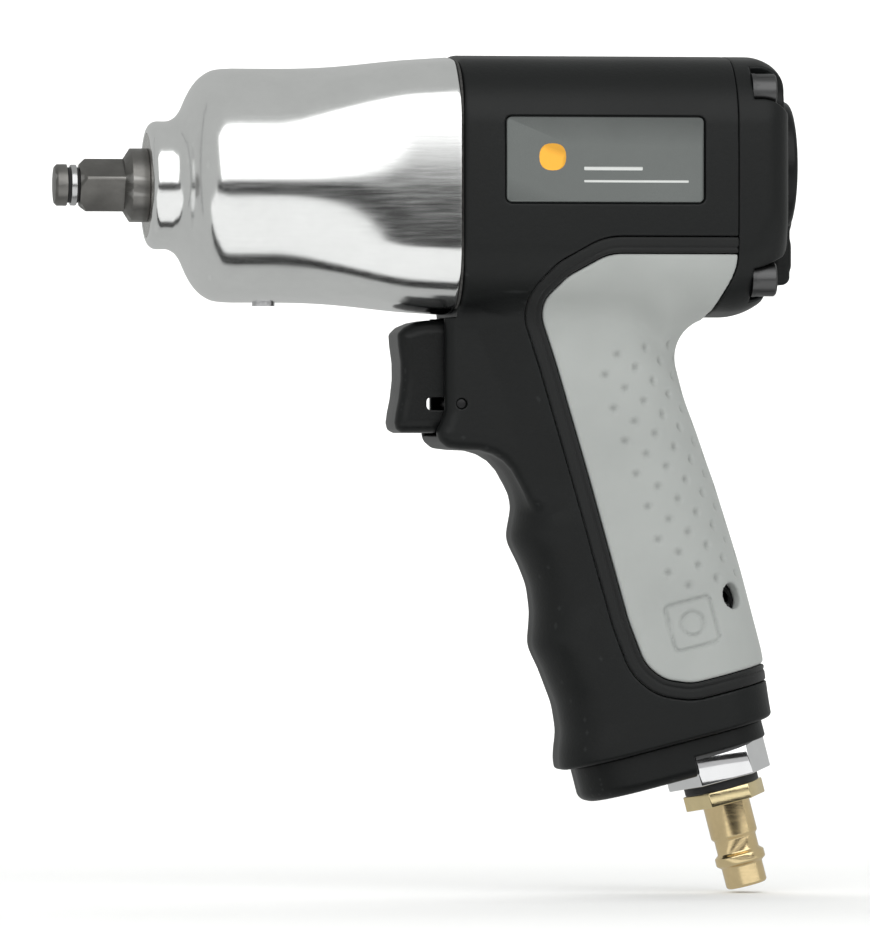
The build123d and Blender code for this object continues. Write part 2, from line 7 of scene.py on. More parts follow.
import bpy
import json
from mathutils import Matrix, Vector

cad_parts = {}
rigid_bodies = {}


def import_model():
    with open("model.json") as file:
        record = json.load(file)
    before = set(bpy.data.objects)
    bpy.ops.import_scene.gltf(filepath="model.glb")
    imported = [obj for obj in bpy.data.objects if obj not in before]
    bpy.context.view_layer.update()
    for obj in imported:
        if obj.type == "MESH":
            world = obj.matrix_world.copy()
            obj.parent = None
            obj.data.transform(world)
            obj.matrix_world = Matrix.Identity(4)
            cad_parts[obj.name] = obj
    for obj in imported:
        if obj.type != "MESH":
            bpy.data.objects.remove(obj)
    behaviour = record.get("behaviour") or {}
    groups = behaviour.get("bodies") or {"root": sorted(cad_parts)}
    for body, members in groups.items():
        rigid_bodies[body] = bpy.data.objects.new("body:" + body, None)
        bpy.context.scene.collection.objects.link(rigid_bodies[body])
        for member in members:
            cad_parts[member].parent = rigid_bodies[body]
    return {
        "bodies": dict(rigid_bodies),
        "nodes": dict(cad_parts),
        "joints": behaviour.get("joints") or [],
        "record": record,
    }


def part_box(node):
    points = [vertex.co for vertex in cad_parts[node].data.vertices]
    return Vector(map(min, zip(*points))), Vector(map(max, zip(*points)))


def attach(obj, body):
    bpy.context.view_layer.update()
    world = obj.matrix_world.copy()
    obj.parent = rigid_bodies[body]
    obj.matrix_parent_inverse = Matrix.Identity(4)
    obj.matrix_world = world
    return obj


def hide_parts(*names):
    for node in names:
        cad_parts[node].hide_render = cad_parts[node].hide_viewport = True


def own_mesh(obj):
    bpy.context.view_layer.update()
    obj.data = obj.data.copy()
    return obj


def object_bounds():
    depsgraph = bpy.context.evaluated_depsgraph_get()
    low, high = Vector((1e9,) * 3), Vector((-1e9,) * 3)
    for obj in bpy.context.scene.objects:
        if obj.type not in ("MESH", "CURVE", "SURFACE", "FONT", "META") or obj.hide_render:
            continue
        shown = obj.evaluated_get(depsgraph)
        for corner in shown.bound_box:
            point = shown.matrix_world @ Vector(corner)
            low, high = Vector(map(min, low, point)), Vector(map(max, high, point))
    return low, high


bl_info = {
    "name": "Pneumatic impact wrench",
    "version": (1, 0, 0),
    "blender": (4, 5, 0),
    "location": "3D View > Sidebar > Wrench",
    "description": "Builds the shells, fittings and finishes of a pistol grip air impact wrench",
    "category": "Add Mesh",
}

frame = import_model()
CAD_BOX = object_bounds()

import json
import math

import bmesh
import bpy
import numpy as np
from bpy.props import FloatProperty, FloatVectorProperty, IntProperty, PointerProperty
from mathutils import Vector

MM = 0.001
BODY = {node: body for body, nodes in frame["record"]["behaviour"]["bodies"].items() for node in nodes}
SLOT = {part["node"]: part["material_slot"] for part in frame["record"]["subparts"]}


# ---- places taken from the frame -----------------------------------------------------

def low(node):
    """A node's lowest corner in millimetres."""
    return np.array(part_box(node)[0]) / MM


def high(node):
    """A node's highest corner in millimetres."""
    return np.array(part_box(node)[1]) / MM


CASE_BACK = high("hammer_case")[0]
SEAM = low("rear_cap")[0] + 8.5          # the cap's spigot reaches 8.5 mm into the barrel
CAP_BACK = high("rear_cap")[0]
HALF_Y, HALF_Z = high("grip_insert")[1], high("rear_cap")[2]
SELECTOR_Z = (low("selector_screw")[2] + high("selector_screw")[2]) / 2
LEAN = math.radians(14.5)
GRIP_X = 111.7
GRIP_END = 137.0


# ---- properties ----------------------------------------------------------------------

class HousingSizes(bpy.types.PropertyGroup):
    """Sizes of the barrel, the grip and their seams."""
    corner: FloatProperty(name="Barrel corner", description="Radius of the barrel's long corners",
                          default=0.0130, unit="LENGTH")
    side_crown: FloatProperty(name="Side crown", description="Radius that the barrel's sides bulge with",
                              default=0.4, unit="LENGTH")
    top_crown: FloatProperty(name="Top crown", description="Radius that the barrel's top bulges with",
                             default=0.11, unit="LENGTH")
    front_edge: FloatProperty(name="Front edge", description="Rounding of the barrel's front edge",
                              default=0.0016, unit="LENGTH")
    grip_half_width: FloatProperty(name="Grip half width", description="Half of the grip's thickness",
                                   default=0.0185, unit="LENGTH")
    grip_corner: FloatProperty(name="Grip corner", description="Radius of the grip's long corners",
                               default=0.0155, unit="LENGTH")
    neck: FloatProperty(name="Neck radius", description="Hollow between the barrel and the back of the grip",
                        default=0.0125, unit="LENGTH")
    frame_width: FloatProperty(name="Frame width", description="Width of the black frame round the soft grip",
                               default=0.0038, unit="LENGTH")
    skin: FloatProperty(name="Skin thickness", description="Thickness of the soft grip",
                        default=0.0024, unit="LENGTH")


class GripSizes(bpy.types.PropertyGroup):
    """Sizes of the dimples in the soft grip."""
    pitch_down: FloatProperty(name="Pitch down", description="Distance between dimples down the grip",
                              default=0.0082, unit="LENGTH")
    pitch_across: FloatProperty(name="Pitch across", description="Distance between columns of dimples",
                                default=0.00388, unit="LENGTH")
    radius: FloatProperty(name="Dimple radius", description="Radius of one dimple", default=0.0016,
                          unit="LENGTH")
    depth: FloatProperty(name="Dimple depth", description="Depth of one dimple", default=0.00085,
                         unit="LENGTH")
    rows: IntProperty(name="Rows", description="Dimples in a column", default=8)
    columns: IntProperty(name="Columns", description="Columns of dimples on each side of the back", default=8)


class CaseSizes(bpy.types.PropertyGroup):
    """Sizes of the polished hammer case."""
    nose_radius: FloatProperty(name="Nose radius", description="Radius of the case's nose", default=0.0152,
                               unit="LENGTH")
    drum_radius: FloatProperty(name="Drum radius", description="Radius of the drum", default=0.0278,
                               unit="LENGTH")
    corner: FloatProperty(name="Flange corner", description="Radius of the flange's rounded corners",
                          default=0.0120, unit="LENGTH")
    around: IntProperty(name="Facets round", description="Faces round the case", default=224)


class Finishes(bpy.types.PropertyGroup):
    """Colours of the wrench's finishes."""
    black: FloatVectorProperty(name="Moulded black", description="Colour of the moulded housing",
                               default=(0.0060, 0.0069, 0.0069), size=3, subtype="COLOR")
    grey: FloatVectorProperty(name="Soft grey", description="Colour of the soft grip",
                              default=(0.375, 0.39, 0.378), size=3, subtype="COLOR")
    alloy: FloatVectorProperty(name="Polished alloy", description="Colour of the hammer case",
                               default=(0.86, 0.865, 0.86), size=3, subtype="COLOR")
    brass: FloatVectorProperty(name="Brass", description="Colour of the air plug",
                               default=(0.93, 0.73, 0.41), size=3, subtype="COLOR")
    plate: FloatVectorProperty(name="Plate grey", description="Colour of the name plates",
                               default=(0.086, 0.093, 0.090), size=3, subtype="COLOR")


class StageSizes(bpy.types.PropertyGroup):
    """Camera and light settings."""
    view_turn: FloatProperty(name="View turn", description="Camera turned towards the nose",
                             default=math.radians(-8.3),
                             subtype="ANGLE")
    view_distance: FloatProperty(name="View distance", description="Camera distance", default=2.6,
                                 unit="LENGTH")
    view_width: FloatProperty(name="View width", description="Width of the view at the wrench",
                              default=0.2071,
                              unit="LENGTH")
    key_power: FloatProperty(name="Key power", description="Power of the tall softbox", default=12.5)
    backdrop_power: FloatProperty(name="Backdrop power", description="Power of the light on the paper behind",
                                  default=95)
    low_power: FloatProperty(name="Low panel power", description="Power of the panel that lights from below",
                             default=1.4)
    room: FloatProperty(name="Room light", description="Brightness of the pale room around the wrench",
                        default=0.5)


# ---- shaping helpers, in millimetres -------------------------------------------------

def ease(start, end, value):
    """Goes smoothly from 0 at start to 1 at end."""
    part = np.clip((value - start) / (end - start), 0.0, 1.0)
    return part * part * (3.0 - 2.0 * part)


def rounded_box(u, v, half_u, half_v, corner):
    """Signed distance to a rounded rectangle about the origin."""
    du, dv = np.abs(u) - (half_u - corner), np.abs(v) - (half_v - corner)
    outside = np.hypot(np.maximum(du, 0.0), np.maximum(dv, 0.0))
    return outside + np.minimum(np.maximum(du, dv), 0.0) - corner


def join(a, b, radius):
    """Union of two shapes with a hollow of this radius between them."""
    hollow = np.hypot(np.maximum(radius - a, 0.0), np.maximum(radius - b, 0.0))
    return np.maximum(radius, np.minimum(a, b)) - hollow


def meet(a, b, radius):
    """What two shapes share, with an edge of this radius."""
    edge = np.hypot(np.maximum(a + radius, 0.0), np.maximum(b + radius, 0.0))
    return np.minimum(-radius, np.maximum(a, b)) + edge


def cut(a, b, radius):
    """The first shape without the second, with an edge of this radius."""
    return meet(a, -b, radius)


def rounded_line(points, radii, count=8):
    """Closed outline with its corners rounded."""
    p = [np.array(q, float) for q in points]
    line = []
    for i, (corner, radius) in enumerate(zip(p, radii)):
        back = p[i - 1] - corner
        ahead = p[(i + 1) % len(p)] - corner
        reach_limit = min(np.linalg.norm(back), np.linalg.norm(ahead)) / 2
        back, ahead = back / np.linalg.norm(back), ahead / np.linalg.norm(ahead)
        half = math.acos(max(-1.0, min(1.0, float(back @ ahead)))) / 2
        reach = min(radius / math.tan(half), reach_limit)
        a, b = corner + back * reach, corner + ahead * reach
        for step in range(count + 1):
            t = step / count
            line.append((1 - t) ** 2 * a + 2 * t * (1 - t) * corner + t * t * b)
    return np.array(line)


class Outline:
    """Signed distance to a closed outline in the side view, kept on a fine sheet and read off it."""

    def __init__(self, line, margin=14.0, pitch=0.25):
        line = np.asarray(line, float)
        self.start = line.min(0) - margin
        self.pitch = pitch
        counts = np.ceil((line.max(0) + margin - self.start) / pitch).astype(int) + 1
        gx, gz = np.meshgrid(*(self.start[i] + pitch * np.arange(counts[i]) for i in (0, 1)), indexing="ij")
        best = np.full(gx.shape, 1e9)
        inside = np.zeros(gx.shape, bool)
        for a, b in zip(line, np.roll(line, -1, 0)):
            step = b - a
            length = float(step @ step)
            if length < 1e-12:
                continue
            part = np.clip(((gx - a[0]) * step[0] + (gz - a[1]) * step[1]) / length, 0.0, 1.0)
            best = np.minimum(best, (gx - a[0] - part * step[0]) ** 2 + (gz - a[1] - part * step[1]) ** 2)
            if a[1] != b[1]:
                crossing = (a[1] > gz) != (b[1] > gz)
                inside ^= crossing & (gx < a[0] + (gz - a[1]) * step[0] / step[1])
        self.sheet = np.where(inside, -1.0, 1.0) * np.sqrt(best)

    def __call__(self, x, z):
        u = np.clip((x - self.start[0]) / self.pitch, 0, self.sheet.shape[0] - 1.001)
        v = np.clip((z - self.start[1]) / self.pitch, 0, self.sheet.shape[1] - 1.001)
        i, j = u.astype(int), v.astype(int)
        u, v = u - i, v - j
        s = self.sheet
        return ((s[i, j] * (1 - u) + s[i + 1, j] * u) * (1 - v)
                + (s[i, j + 1] * (1 - u) + s[i + 1, j + 1] * u) * v)


def slope(field, points, reach=0.02):
    """The direction in which a field grows, at each point."""
    grown = []
    for axis in range(3):
        shift = np.zeros(3)
        shift[axis] = reach
        grown.append(field(*(points + shift).T) - field(*(points - shift).T))
    return np.stack(grown, 1) / (2 * reach)


CUBE_CORNERS = np.array([(i, j, k) for i in (0, 1) for j in (0, 1) for k in (0, 1)])
CUBE_EDGES = [(a, b) for a in range(8) for b in range(a + 1, 8)
              if np.abs(CUBE_CORNERS[a] - CUBE_CORNERS[b]).sum() == 1]


def skin(field, start, end, step, settle=3):
    """Closed quad skin of the shape where field is below zero, between two corners of space."""
    block = 8
    start = np.array(start, float) - 0.5 * step
    blocks = np.ceil((np.array(end, float) - start) / (step * block)).astype(int) + 1
    middle = np.stack(np.meshgrid(*(np.arange(n) for n in blocks), indexing="ij"), -1).reshape(-1, 3)
    coarse = field(*(start + (middle + 0.5) * block * step).T)
    near = np.abs(coarse) < block * step * 1.35
    sizes = blocks * block + 1
    values = np.full(sizes, 1.0, np.float32)
    far = np.where(coarse < 0, -1.0, 1.0).reshape(blocks).astype(np.float32)
    values[:-1, :-1, :-1] = far.repeat(block, 0).repeat(block, 1).repeat(block, 2)
    local = np.stack(np.meshgrid(*[np.arange(block + 1)] * 3, indexing="ij"), -1).reshape(-1, 3)
    kept = middle[near]
    for batch in np.array_split(kept, max(1, len(kept) // 400)):
        index = (batch[:, None] * block + local[None]).reshape(-1, 3)
        values[tuple(index.T)] = field(*(start + index * step).T)
    inside = values < 0
    count = np.zeros(sizes - 1, np.uint8)
    for i, j, k in CUBE_CORNERS:
        count += inside[i:sizes[0] - 1 + i, j:sizes[1] - 1 + j, k:sizes[2] - 1 + k]
    cells = np.argwhere((count > 0) & (count < 8))
    number = np.full(sizes - 1, -1, np.int32)
    number[tuple(cells.T)] = np.arange(len(cells))
    corner_values = [values[tuple((cells + c).T)] for c in CUBE_CORNERS]
    total, hits = np.zeros((len(cells), 3)), np.zeros(len(cells))
    for a, b in CUBE_EDGES:
        va, vb = corner_values[a].astype(float), corner_values[b].astype(float)
        crossed = (va < 0) != (vb < 0)
        part = np.where(crossed, va / np.where(crossed, va - vb, 1.0), 0.0)
        place = CUBE_CORNERS[a] + part[:, None] * (CUBE_CORNERS[b] - CUBE_CORNERS[a])
        total += np.where(crossed[:, None], place, 0.0)
        hits += crossed
    points = start + (cells + total / hits[:, None]) * step
    quads = []
    for axis in range(3):
        others = [a for a in range(3) if a != axis]
        size = np.array(inside.shape)
        size[axis] -= 1
        near_end = inside[tuple(slice(0, n) for n in size)]
        far_end = inside[tuple(slice(1, None) if a == axis else slice(0, None) for a in range(3))]
        edge = np.argwhere(near_end != far_end)
        edge = edge[(edge[:, others[0]] > 0) & (edge[:, others[1]] > 0)]
        edge = edge[(edge[:, others[0]] < sizes[others[0]] - 1) & (edge[:, others[1]] < sizes[others[1]] - 1)]
        ring = []
        for du, dv in ((0, 0), (-1, 0), (-1, -1), (0, -1)):
            cell = edge.copy()
            cell[:, others[0]] += du
            cell[:, others[1]] += dv
            ring.append(number[tuple(cell.T)])
        ring = np.stack(ring, 1)
        outward = near_end[tuple(edge.T)]
        if axis == 1:
            outward = ~outward
        ring[~outward] = ring[~outward][:, ::-1]
        quads.append(ring)
    quads = np.concatenate(quads)
    for _ in range(settle):
        grown = slope(field, points)
        square = np.maximum((grown ** 2).sum(1), 0.25)
        move = -(field(*points.T) / square)[:, None] * grown
        length = np.linalg.norm(move, axis=1, keepdims=True)
        points += move * np.minimum(1.0, 0.35 * step / np.maximum(length, 1e-9))
    return points, quads


# ---- mesh helpers --------------------------------------------------------------------

def mesh_object(name, points, faces, smooth=True):
    """A new object in the scene from points in metres and faces."""
    mesh = bpy.data.meshes.new(name)
    faces = np.asarray(faces, np.int32)
    mesh.vertices.add(len(points))
    mesh.vertices.foreach_set("co", np.asarray(points, np.float32).ravel())
    mesh.loops.add(faces.size)
    mesh.loops.foreach_set("vertex_index", faces.ravel())
    mesh.polygons.add(len(faces))
    mesh.polygons.foreach_set("loop_start", np.arange(0, faces.size, faces.shape[1], dtype=np.int32))
    mesh.polygons.foreach_set("use_smooth", np.full(len(faces), smooth))
    mesh.update(calc_edges=True)
    mesh.validate()
    obj = bpy.data.objects.new(name, mesh)
    bpy.context.collection.objects.link(obj)
    return obj


def baked(obj):
    """Turns an object with modifiers into a plain mesh object of the same name."""
    depsgraph = bpy.context.evaluated_depsgraph_get()
    mesh = bpy.data.meshes.new_from_object(obj.evaluated_get(depsgraph), depsgraph=depsgraph)
    obj.modifiers.clear()
    obj.data = mesh
    return obj


def thinned(obj, keep):
    """Drops the faces that a flat stretch doesn't need."""
    if keep < 1.0:
        modifier = obj.modifiers.new("Thin", "DECIMATE")
        modifier.ratio = keep
        baked(obj)
    return obj


def shaded_by(obj, field):
    """Gives a shell the exact surface directions of the field it came from."""
    points = np.empty(len(obj.data.vertices) * 3)
    obj.data.vertices.foreach_get("co", points)
    grown = slope(field, points.reshape(-1, 3) / MM)
    grown /= np.maximum(np.linalg.norm(grown, axis=1, keepdims=True), 1e-6)
    obj.data.normals_split_custom_set_from_vertices([tuple(n) for n in grown])
    return obj


def finish_piece(obj, node, material, *stands_for):
    """Gives a piece its material and body, and hides the CAD nodes that it replaces."""
    obj.data.materials.clear()
    obj.data.materials.append(material)
    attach(obj, BODY[node])
    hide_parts(node, *stands_for)
    return obj


def shell(name, field, start, end, step, keep=1.0):
    """A shell piece of the shape where field is below zero."""
    points, quads = skin(field, start, end, step)
    return thinned(mesh_object(name, points * MM, quads), keep)


def refined(node, name, bevel=0.00015, angle=32.0):
    """A merged copy of a CAD node, with its sharp edges softened."""
    mesh = frame["nodes"][node].data.copy()
    work = bmesh.new()
    work.from_mesh(mesh)
    bmesh.ops.remove_doubles(work, verts=work.verts, dist=2e-6)
    bmesh.ops.dissolve_limit(work, angle_limit=math.radians(0.6), verts=work.verts, edges=work.edges)
    work.to_mesh(mesh)
    work.free()
    obj = bpy.data.objects.new(name, mesh)
    bpy.context.collection.objects.link(obj)
    if bevel:
        modifier = obj.modifiers.new("Soft edges", "BEVEL")
        modifier.width = bevel
        modifier.segments = 2
        modifier.limit_method = "ANGLE"
        modifier.angle_limit = math.radians(angle)
        modifier.harden_normals = False
        baked(obj)
    obj.data.polygons.foreach_set("use_smooth", np.full(len(obj.data.polygons), True))
    sharpen(obj, 40.0)
    return finish_piece(obj, node, FINISH[SLOT[node]])


def grown(obj, tree, settings):
    """Runs a node tree on an object with these named inputs, and leaves a plain mesh."""
    modifier = obj.modifiers.new("Shape", "NODES")
    modifier.node_group = tree
    for item in tree.interface.items_tree:
        if item.item_type == "SOCKET" and item.in_out == "INPUT" and item.name in settings:
            modifier[item.identifier] = settings[item.name]
    return baked(obj)


def points_object(name, places, directions):
    """An object that only holds places, each with the direction that its piece faces."""
    mesh = bpy.data.meshes.new(name)
    mesh.from_pydata([tuple(p) for p in places], [], [])
    if len(directions):
        facing = mesh.attributes.new("facing", "FLOAT_VECTOR", "POINT")
        facing.data.foreach_set("vector", np.asarray(directions, np.float32).ravel())
    obj = bpy.data.objects.new(name, mesh)
    bpy.context.collection.objects.link(obj)
    return obj


# ---- node trees for what repeats -----------------------------------------------------

def screw_tree():
    """Socket head screws, one on each point, that look along the point's facing."""
    tree = bpy.data.node_groups.new("socket_screws", "GeometryNodeTree")
    face = tree.interface
    face.new_socket("Geometry", in_out="INPUT", socket_type="NodeSocketGeometry")
    for label, value in (("Head radius", 0.004), ("Head height", 0.005), ("Edge", 0.0004),
                         ("Socket radius", 0.0023),
                         ("Socket depth", 0.003), ("Shank radius", 0.0024), ("Shank length", 0.02)):
        face.new_socket(label, in_out="INPUT", socket_type="NodeSocketFloat").default_value = value
    face.new_socket("Material", in_out="INPUT", socket_type="NodeSocketMaterial")
    face.new_socket("Geometry", in_out="OUTPUT", socket_type="NodeSocketGeometry")
    nodes, links = tree.nodes, tree.links
    given = nodes.new("NodeGroupInput")
    head = nodes.new("GeometryNodeMeshCylinder")
    head.label = "Head"
    head.inputs["Vertices"].default_value = 48
    lift = nodes.new("ShaderNodeMath")
    lift.label = "Half the head's height"
    lift.operation = "MULTIPLY"
    lift.inputs[1].default_value = 0.5
    up = nodes.new("ShaderNodeCombineXYZ")
    up.label = "Head above the seat"
    seated = nodes.new("GeometryNodeTransform")
    seated.label = "Seat the head"
    rim_radius = nodes.new("ShaderNodeMath")
    rim_radius.label = "Radius inside the edge"
    rim_radius.operation = "SUBTRACT"
    rim = nodes.new("GeometryNodeMeshCone")
    rim.label = "Chamfered top"
    rim.inputs["Vertices"].default_value = 48
    rim_up = nodes.new("ShaderNodeCombineXYZ")
    rim_up.label = "On top of the head"
    rimmed = nodes.new("GeometryNodeTransform")
    rimmed.label = "Lift the chamfer"
    top = nodes.new("ShaderNodeMath")
    top.label = "Top of the head"
    top.operation = "ADD"
    drive = nodes.new("GeometryNodeMeshCylinder")
    drive.label = "Six-sided socket"
    drive.inputs["Vertices"].default_value = 6
    drive_up = nodes.new("ShaderNodeCombineXYZ")
    drive_up.label = "Socket in the top"
    sunk = nodes.new("GeometryNodeTransform")
    sunk.label = "Sink the socket"
    deep = nodes.new("ShaderNodeMath")
    deep.label = "Twice the depth"
    deep.operation = "MULTIPLY"
    deep.inputs[1].default_value = 2.0
    solid = nodes.new("GeometryNodeMeshBoolean")
    solid.label = "Head and chamfer"
    solid.operation = "UNION"
    cutter = nodes.new("GeometryNodeMeshBoolean")
    cutter.label = "Cut the socket"
    cutter.operation = "DIFFERENCE"
    shank = nodes.new("GeometryNodeMeshCylinder")
    shank.label = "Shank"
    shank.inputs["Vertices"].default_value = 32
    shank_half = nodes.new("ShaderNodeMath")
    shank_half.label = "Half the shank, downwards"
    shank_half.operation = "MULTIPLY"
    shank_half.inputs[1].default_value = -0.5
    shank_down = nodes.new("ShaderNodeCombineXYZ")
    shank_down.label = "Shank below the seat"
    hung = nodes.new("GeometryNodeTransform")
    hung.label = "Hang the shank"
    one = nodes.new("GeometryNodeJoinGeometry")
    one.label = "One screw"
    facing = nodes.new("GeometryNodeInputNamedAttribute")
    facing.label = "Which way each screw faces"
    facing.data_type = "FLOAT_VECTOR"
    facing.inputs["Name"].default_value = "facing"
    turned = nodes.new("FunctionNodeAlignRotationToVector")
    turned.label = "Turn to that way"
    turned.axis = "Z"
    placed = nodes.new("GeometryNodeInstanceOnPoints")
    placed.label = "A screw on each point"
    real = nodes.new("GeometryNodeRealizeInstances")
    coat = nodes.new("GeometryNodeSetMaterial")
    out = nodes.new("NodeGroupOutput")
    links.new(given.outputs["Head radius"], head.inputs["Radius"])
    links.new(given.outputs["Head height"], head.inputs["Depth"])
    links.new(given.outputs["Head height"], lift.inputs[0])
    links.new(lift.outputs[0], up.inputs["Z"])
    links.new(head.outputs["Mesh"], seated.inputs["Geometry"])
    links.new(up.outputs[0], seated.inputs["Translation"])
    links.new(given.outputs["Head radius"], rim_radius.inputs[0])
    links.new(given.outputs["Edge"], rim_radius.inputs[1])
    links.new(rim_radius.outputs[0], rim.inputs["Radius Top"])
    links.new(given.outputs["Head radius"], rim.inputs["Radius Bottom"])
    links.new(given.outputs["Edge"], rim.inputs["Depth"])
    links.new(given.outputs["Head height"], rim_up.inputs["Z"])
    links.new(rim.outputs["Mesh"], rimmed.inputs["Geometry"])
    links.new(rim_up.outputs[0], rimmed.inputs["Translation"])
    links.new(given.outputs["Head height"], top.inputs[0])
    links.new(given.outputs["Edge"], top.inputs[1])
    links.new(given.outputs["Socket depth"], deep.inputs[0])
    links.new(deep.outputs[0], drive.inputs["Depth"])
    links.new(given.outputs["Socket radius"], drive.inputs["Radius"])
    links.new(top.outputs[0], drive_up.inputs["Z"])
    links.new(drive.outputs["Mesh"], sunk.inputs["Geometry"])
    links.new(drive_up.outputs[0], sunk.inputs["Translation"])
    links.new(seated.outputs[0], solid.inputs["Mesh 2"])
    links.new(rimmed.outputs[0], solid.inputs["Mesh 2"])
    links.new(solid.outputs["Mesh"], cutter.inputs["Mesh 1"])
    links.new(sunk.outputs[0], cutter.inputs["Mesh 2"])
    links.new(given.outputs["Shank radius"], shank.inputs["Radius"])
    links.new(given.outputs["Shank length"], shank.inputs["Depth"])
    links.new(given.outputs["Shank length"], shank_half.inputs[0])
    links.new(shank_half.outputs[0], shank_down.inputs["Z"])
    links.new(shank.outputs["Mesh"], hung.inputs["Geometry"])
    links.new(shank_down.outputs[0], hung.inputs["Translation"])
    links.new(cutter.outputs["Mesh"], one.inputs[0])
    links.new(hung.outputs[0], one.inputs[0])
    links.new(facing.outputs["Attribute"], turned.inputs["Vector"])
    links.new(given.outputs["Geometry"], placed.inputs["Points"])
    links.new(one.outputs[0], placed.inputs["Instance"])
    links.new(turned.outputs["Rotation"], placed.inputs["Rotation"])
    links.new(placed.outputs[0], real.inputs[0])
    links.new(real.outputs[0], coat.inputs["Geometry"])
    links.new(given.outputs["Material"], coat.inputs["Material"])
    links.new(coat.outputs[0], out.inputs[0])
    for node, spot in (
            (given, (-1400, 0)), (head, (-1100, 300)), (lift, (-1100, 80)), (up, (-920, 80)),
            (seated, (-740, 300)), (rim_radius, (-1100, -80)), (rim, (-900, -120)),
            (rim_up, (-740, -40)), (rimmed, (-560, -60)), (top, (-740, -260)), (drive, (-560, -300)),
            (drive_up, (-560, -520)), (sunk, (-380, -300)), (deep, (-740, -420)), (solid, (-380, 200)),
            (cutter, (-180, 100)), (shank, (-380, 460)), (shank_half, (-560, 560)),
            (shank_down, (-380, 640)), (hung, (-180, 460)), (one, (20, 200)), (facing, (20, -120)),
            (turned, (200, -120)), (placed, (400, 100)), (real, (600, 100)), (coat, (800, 100)),
            (out, (1000, 100))):
        node.location = spot
    return tree


def ball_tree():
    """Bearing balls in a ring about the drive axis."""
    tree = bpy.data.node_groups.new("bearing_balls", "GeometryNodeTree")
    face = tree.interface
    face.new_socket("Balls", in_out="INPUT", socket_type="NodeSocketInt").default_value = 8
    for label, value in (("Ball radius", 0.0019), ("Pitch radius", 0.009), ("Middle", 0.097)):
        face.new_socket(label, in_out="INPUT", socket_type="NodeSocketFloat").default_value = value
    face.new_socket("Material", in_out="INPUT", socket_type="NodeSocketMaterial")
    face.new_socket("Geometry", in_out="OUTPUT", socket_type="NodeSocketGeometry")
    nodes, links = tree.nodes, tree.links
    given = nodes.new("NodeGroupInput")
    circle = nodes.new("GeometryNodeMeshCircle")
    circle.label = "Ball circle"
    middle = nodes.new("ShaderNodeCombineXYZ")
    middle.label = "Middle of the bearing"
    stood = nodes.new("GeometryNodeTransform")
    stood.label = "Stand the circle across the drive"
    stood.inputs["Rotation"].default_value = (math.pi / 2, 0.0, math.pi / 2)
    ball = nodes.new("GeometryNodeMeshUVSphere")
    ball.label = "Ball"
    ball.inputs["Segments"].default_value = 24
    ball.inputs["Rings"].default_value = 16
    placed = nodes.new("GeometryNodeInstanceOnPoints")
    placed.label = "A ball on each point"
    real = nodes.new("GeometryNodeRealizeInstances")
    coat = nodes.new("GeometryNodeSetMaterial")
    out = nodes.new("NodeGroupOutput")
    links.new(given.outputs["Balls"], circle.inputs["Vertices"])
    links.new(given.outputs["Pitch radius"], circle.inputs["Radius"])
    links.new(given.outputs["Middle"], middle.inputs["X"])
    links.new(circle.outputs["Mesh"], stood.inputs["Geometry"])
    links.new(middle.outputs[0], stood.inputs["Translation"])
    links.new(given.outputs["Ball radius"], ball.inputs["Radius"])
    links.new(stood.outputs[0], placed.inputs["Points"])
    links.new(ball.outputs["Mesh"], placed.inputs["Instance"])
    links.new(placed.outputs[0], real.inputs[0])
    links.new(real.outputs[0], coat.inputs["Geometry"])
    links.new(given.outputs["Material"], coat.inputs["Material"])
    links.new(coat.outputs[0], out.inputs[0])
    for node, spot in (
            (given, (-800, 0)), (circle, (-550, 150)), (middle, (-550, -150)), (stood, (-300, 100)),
            (ball, (-300, -200)), (placed, (-50, 50)), (real, (150, 50)), (coat, (330, 50)),
            (out, (520, 50))):
        node.location = spot
    return tree


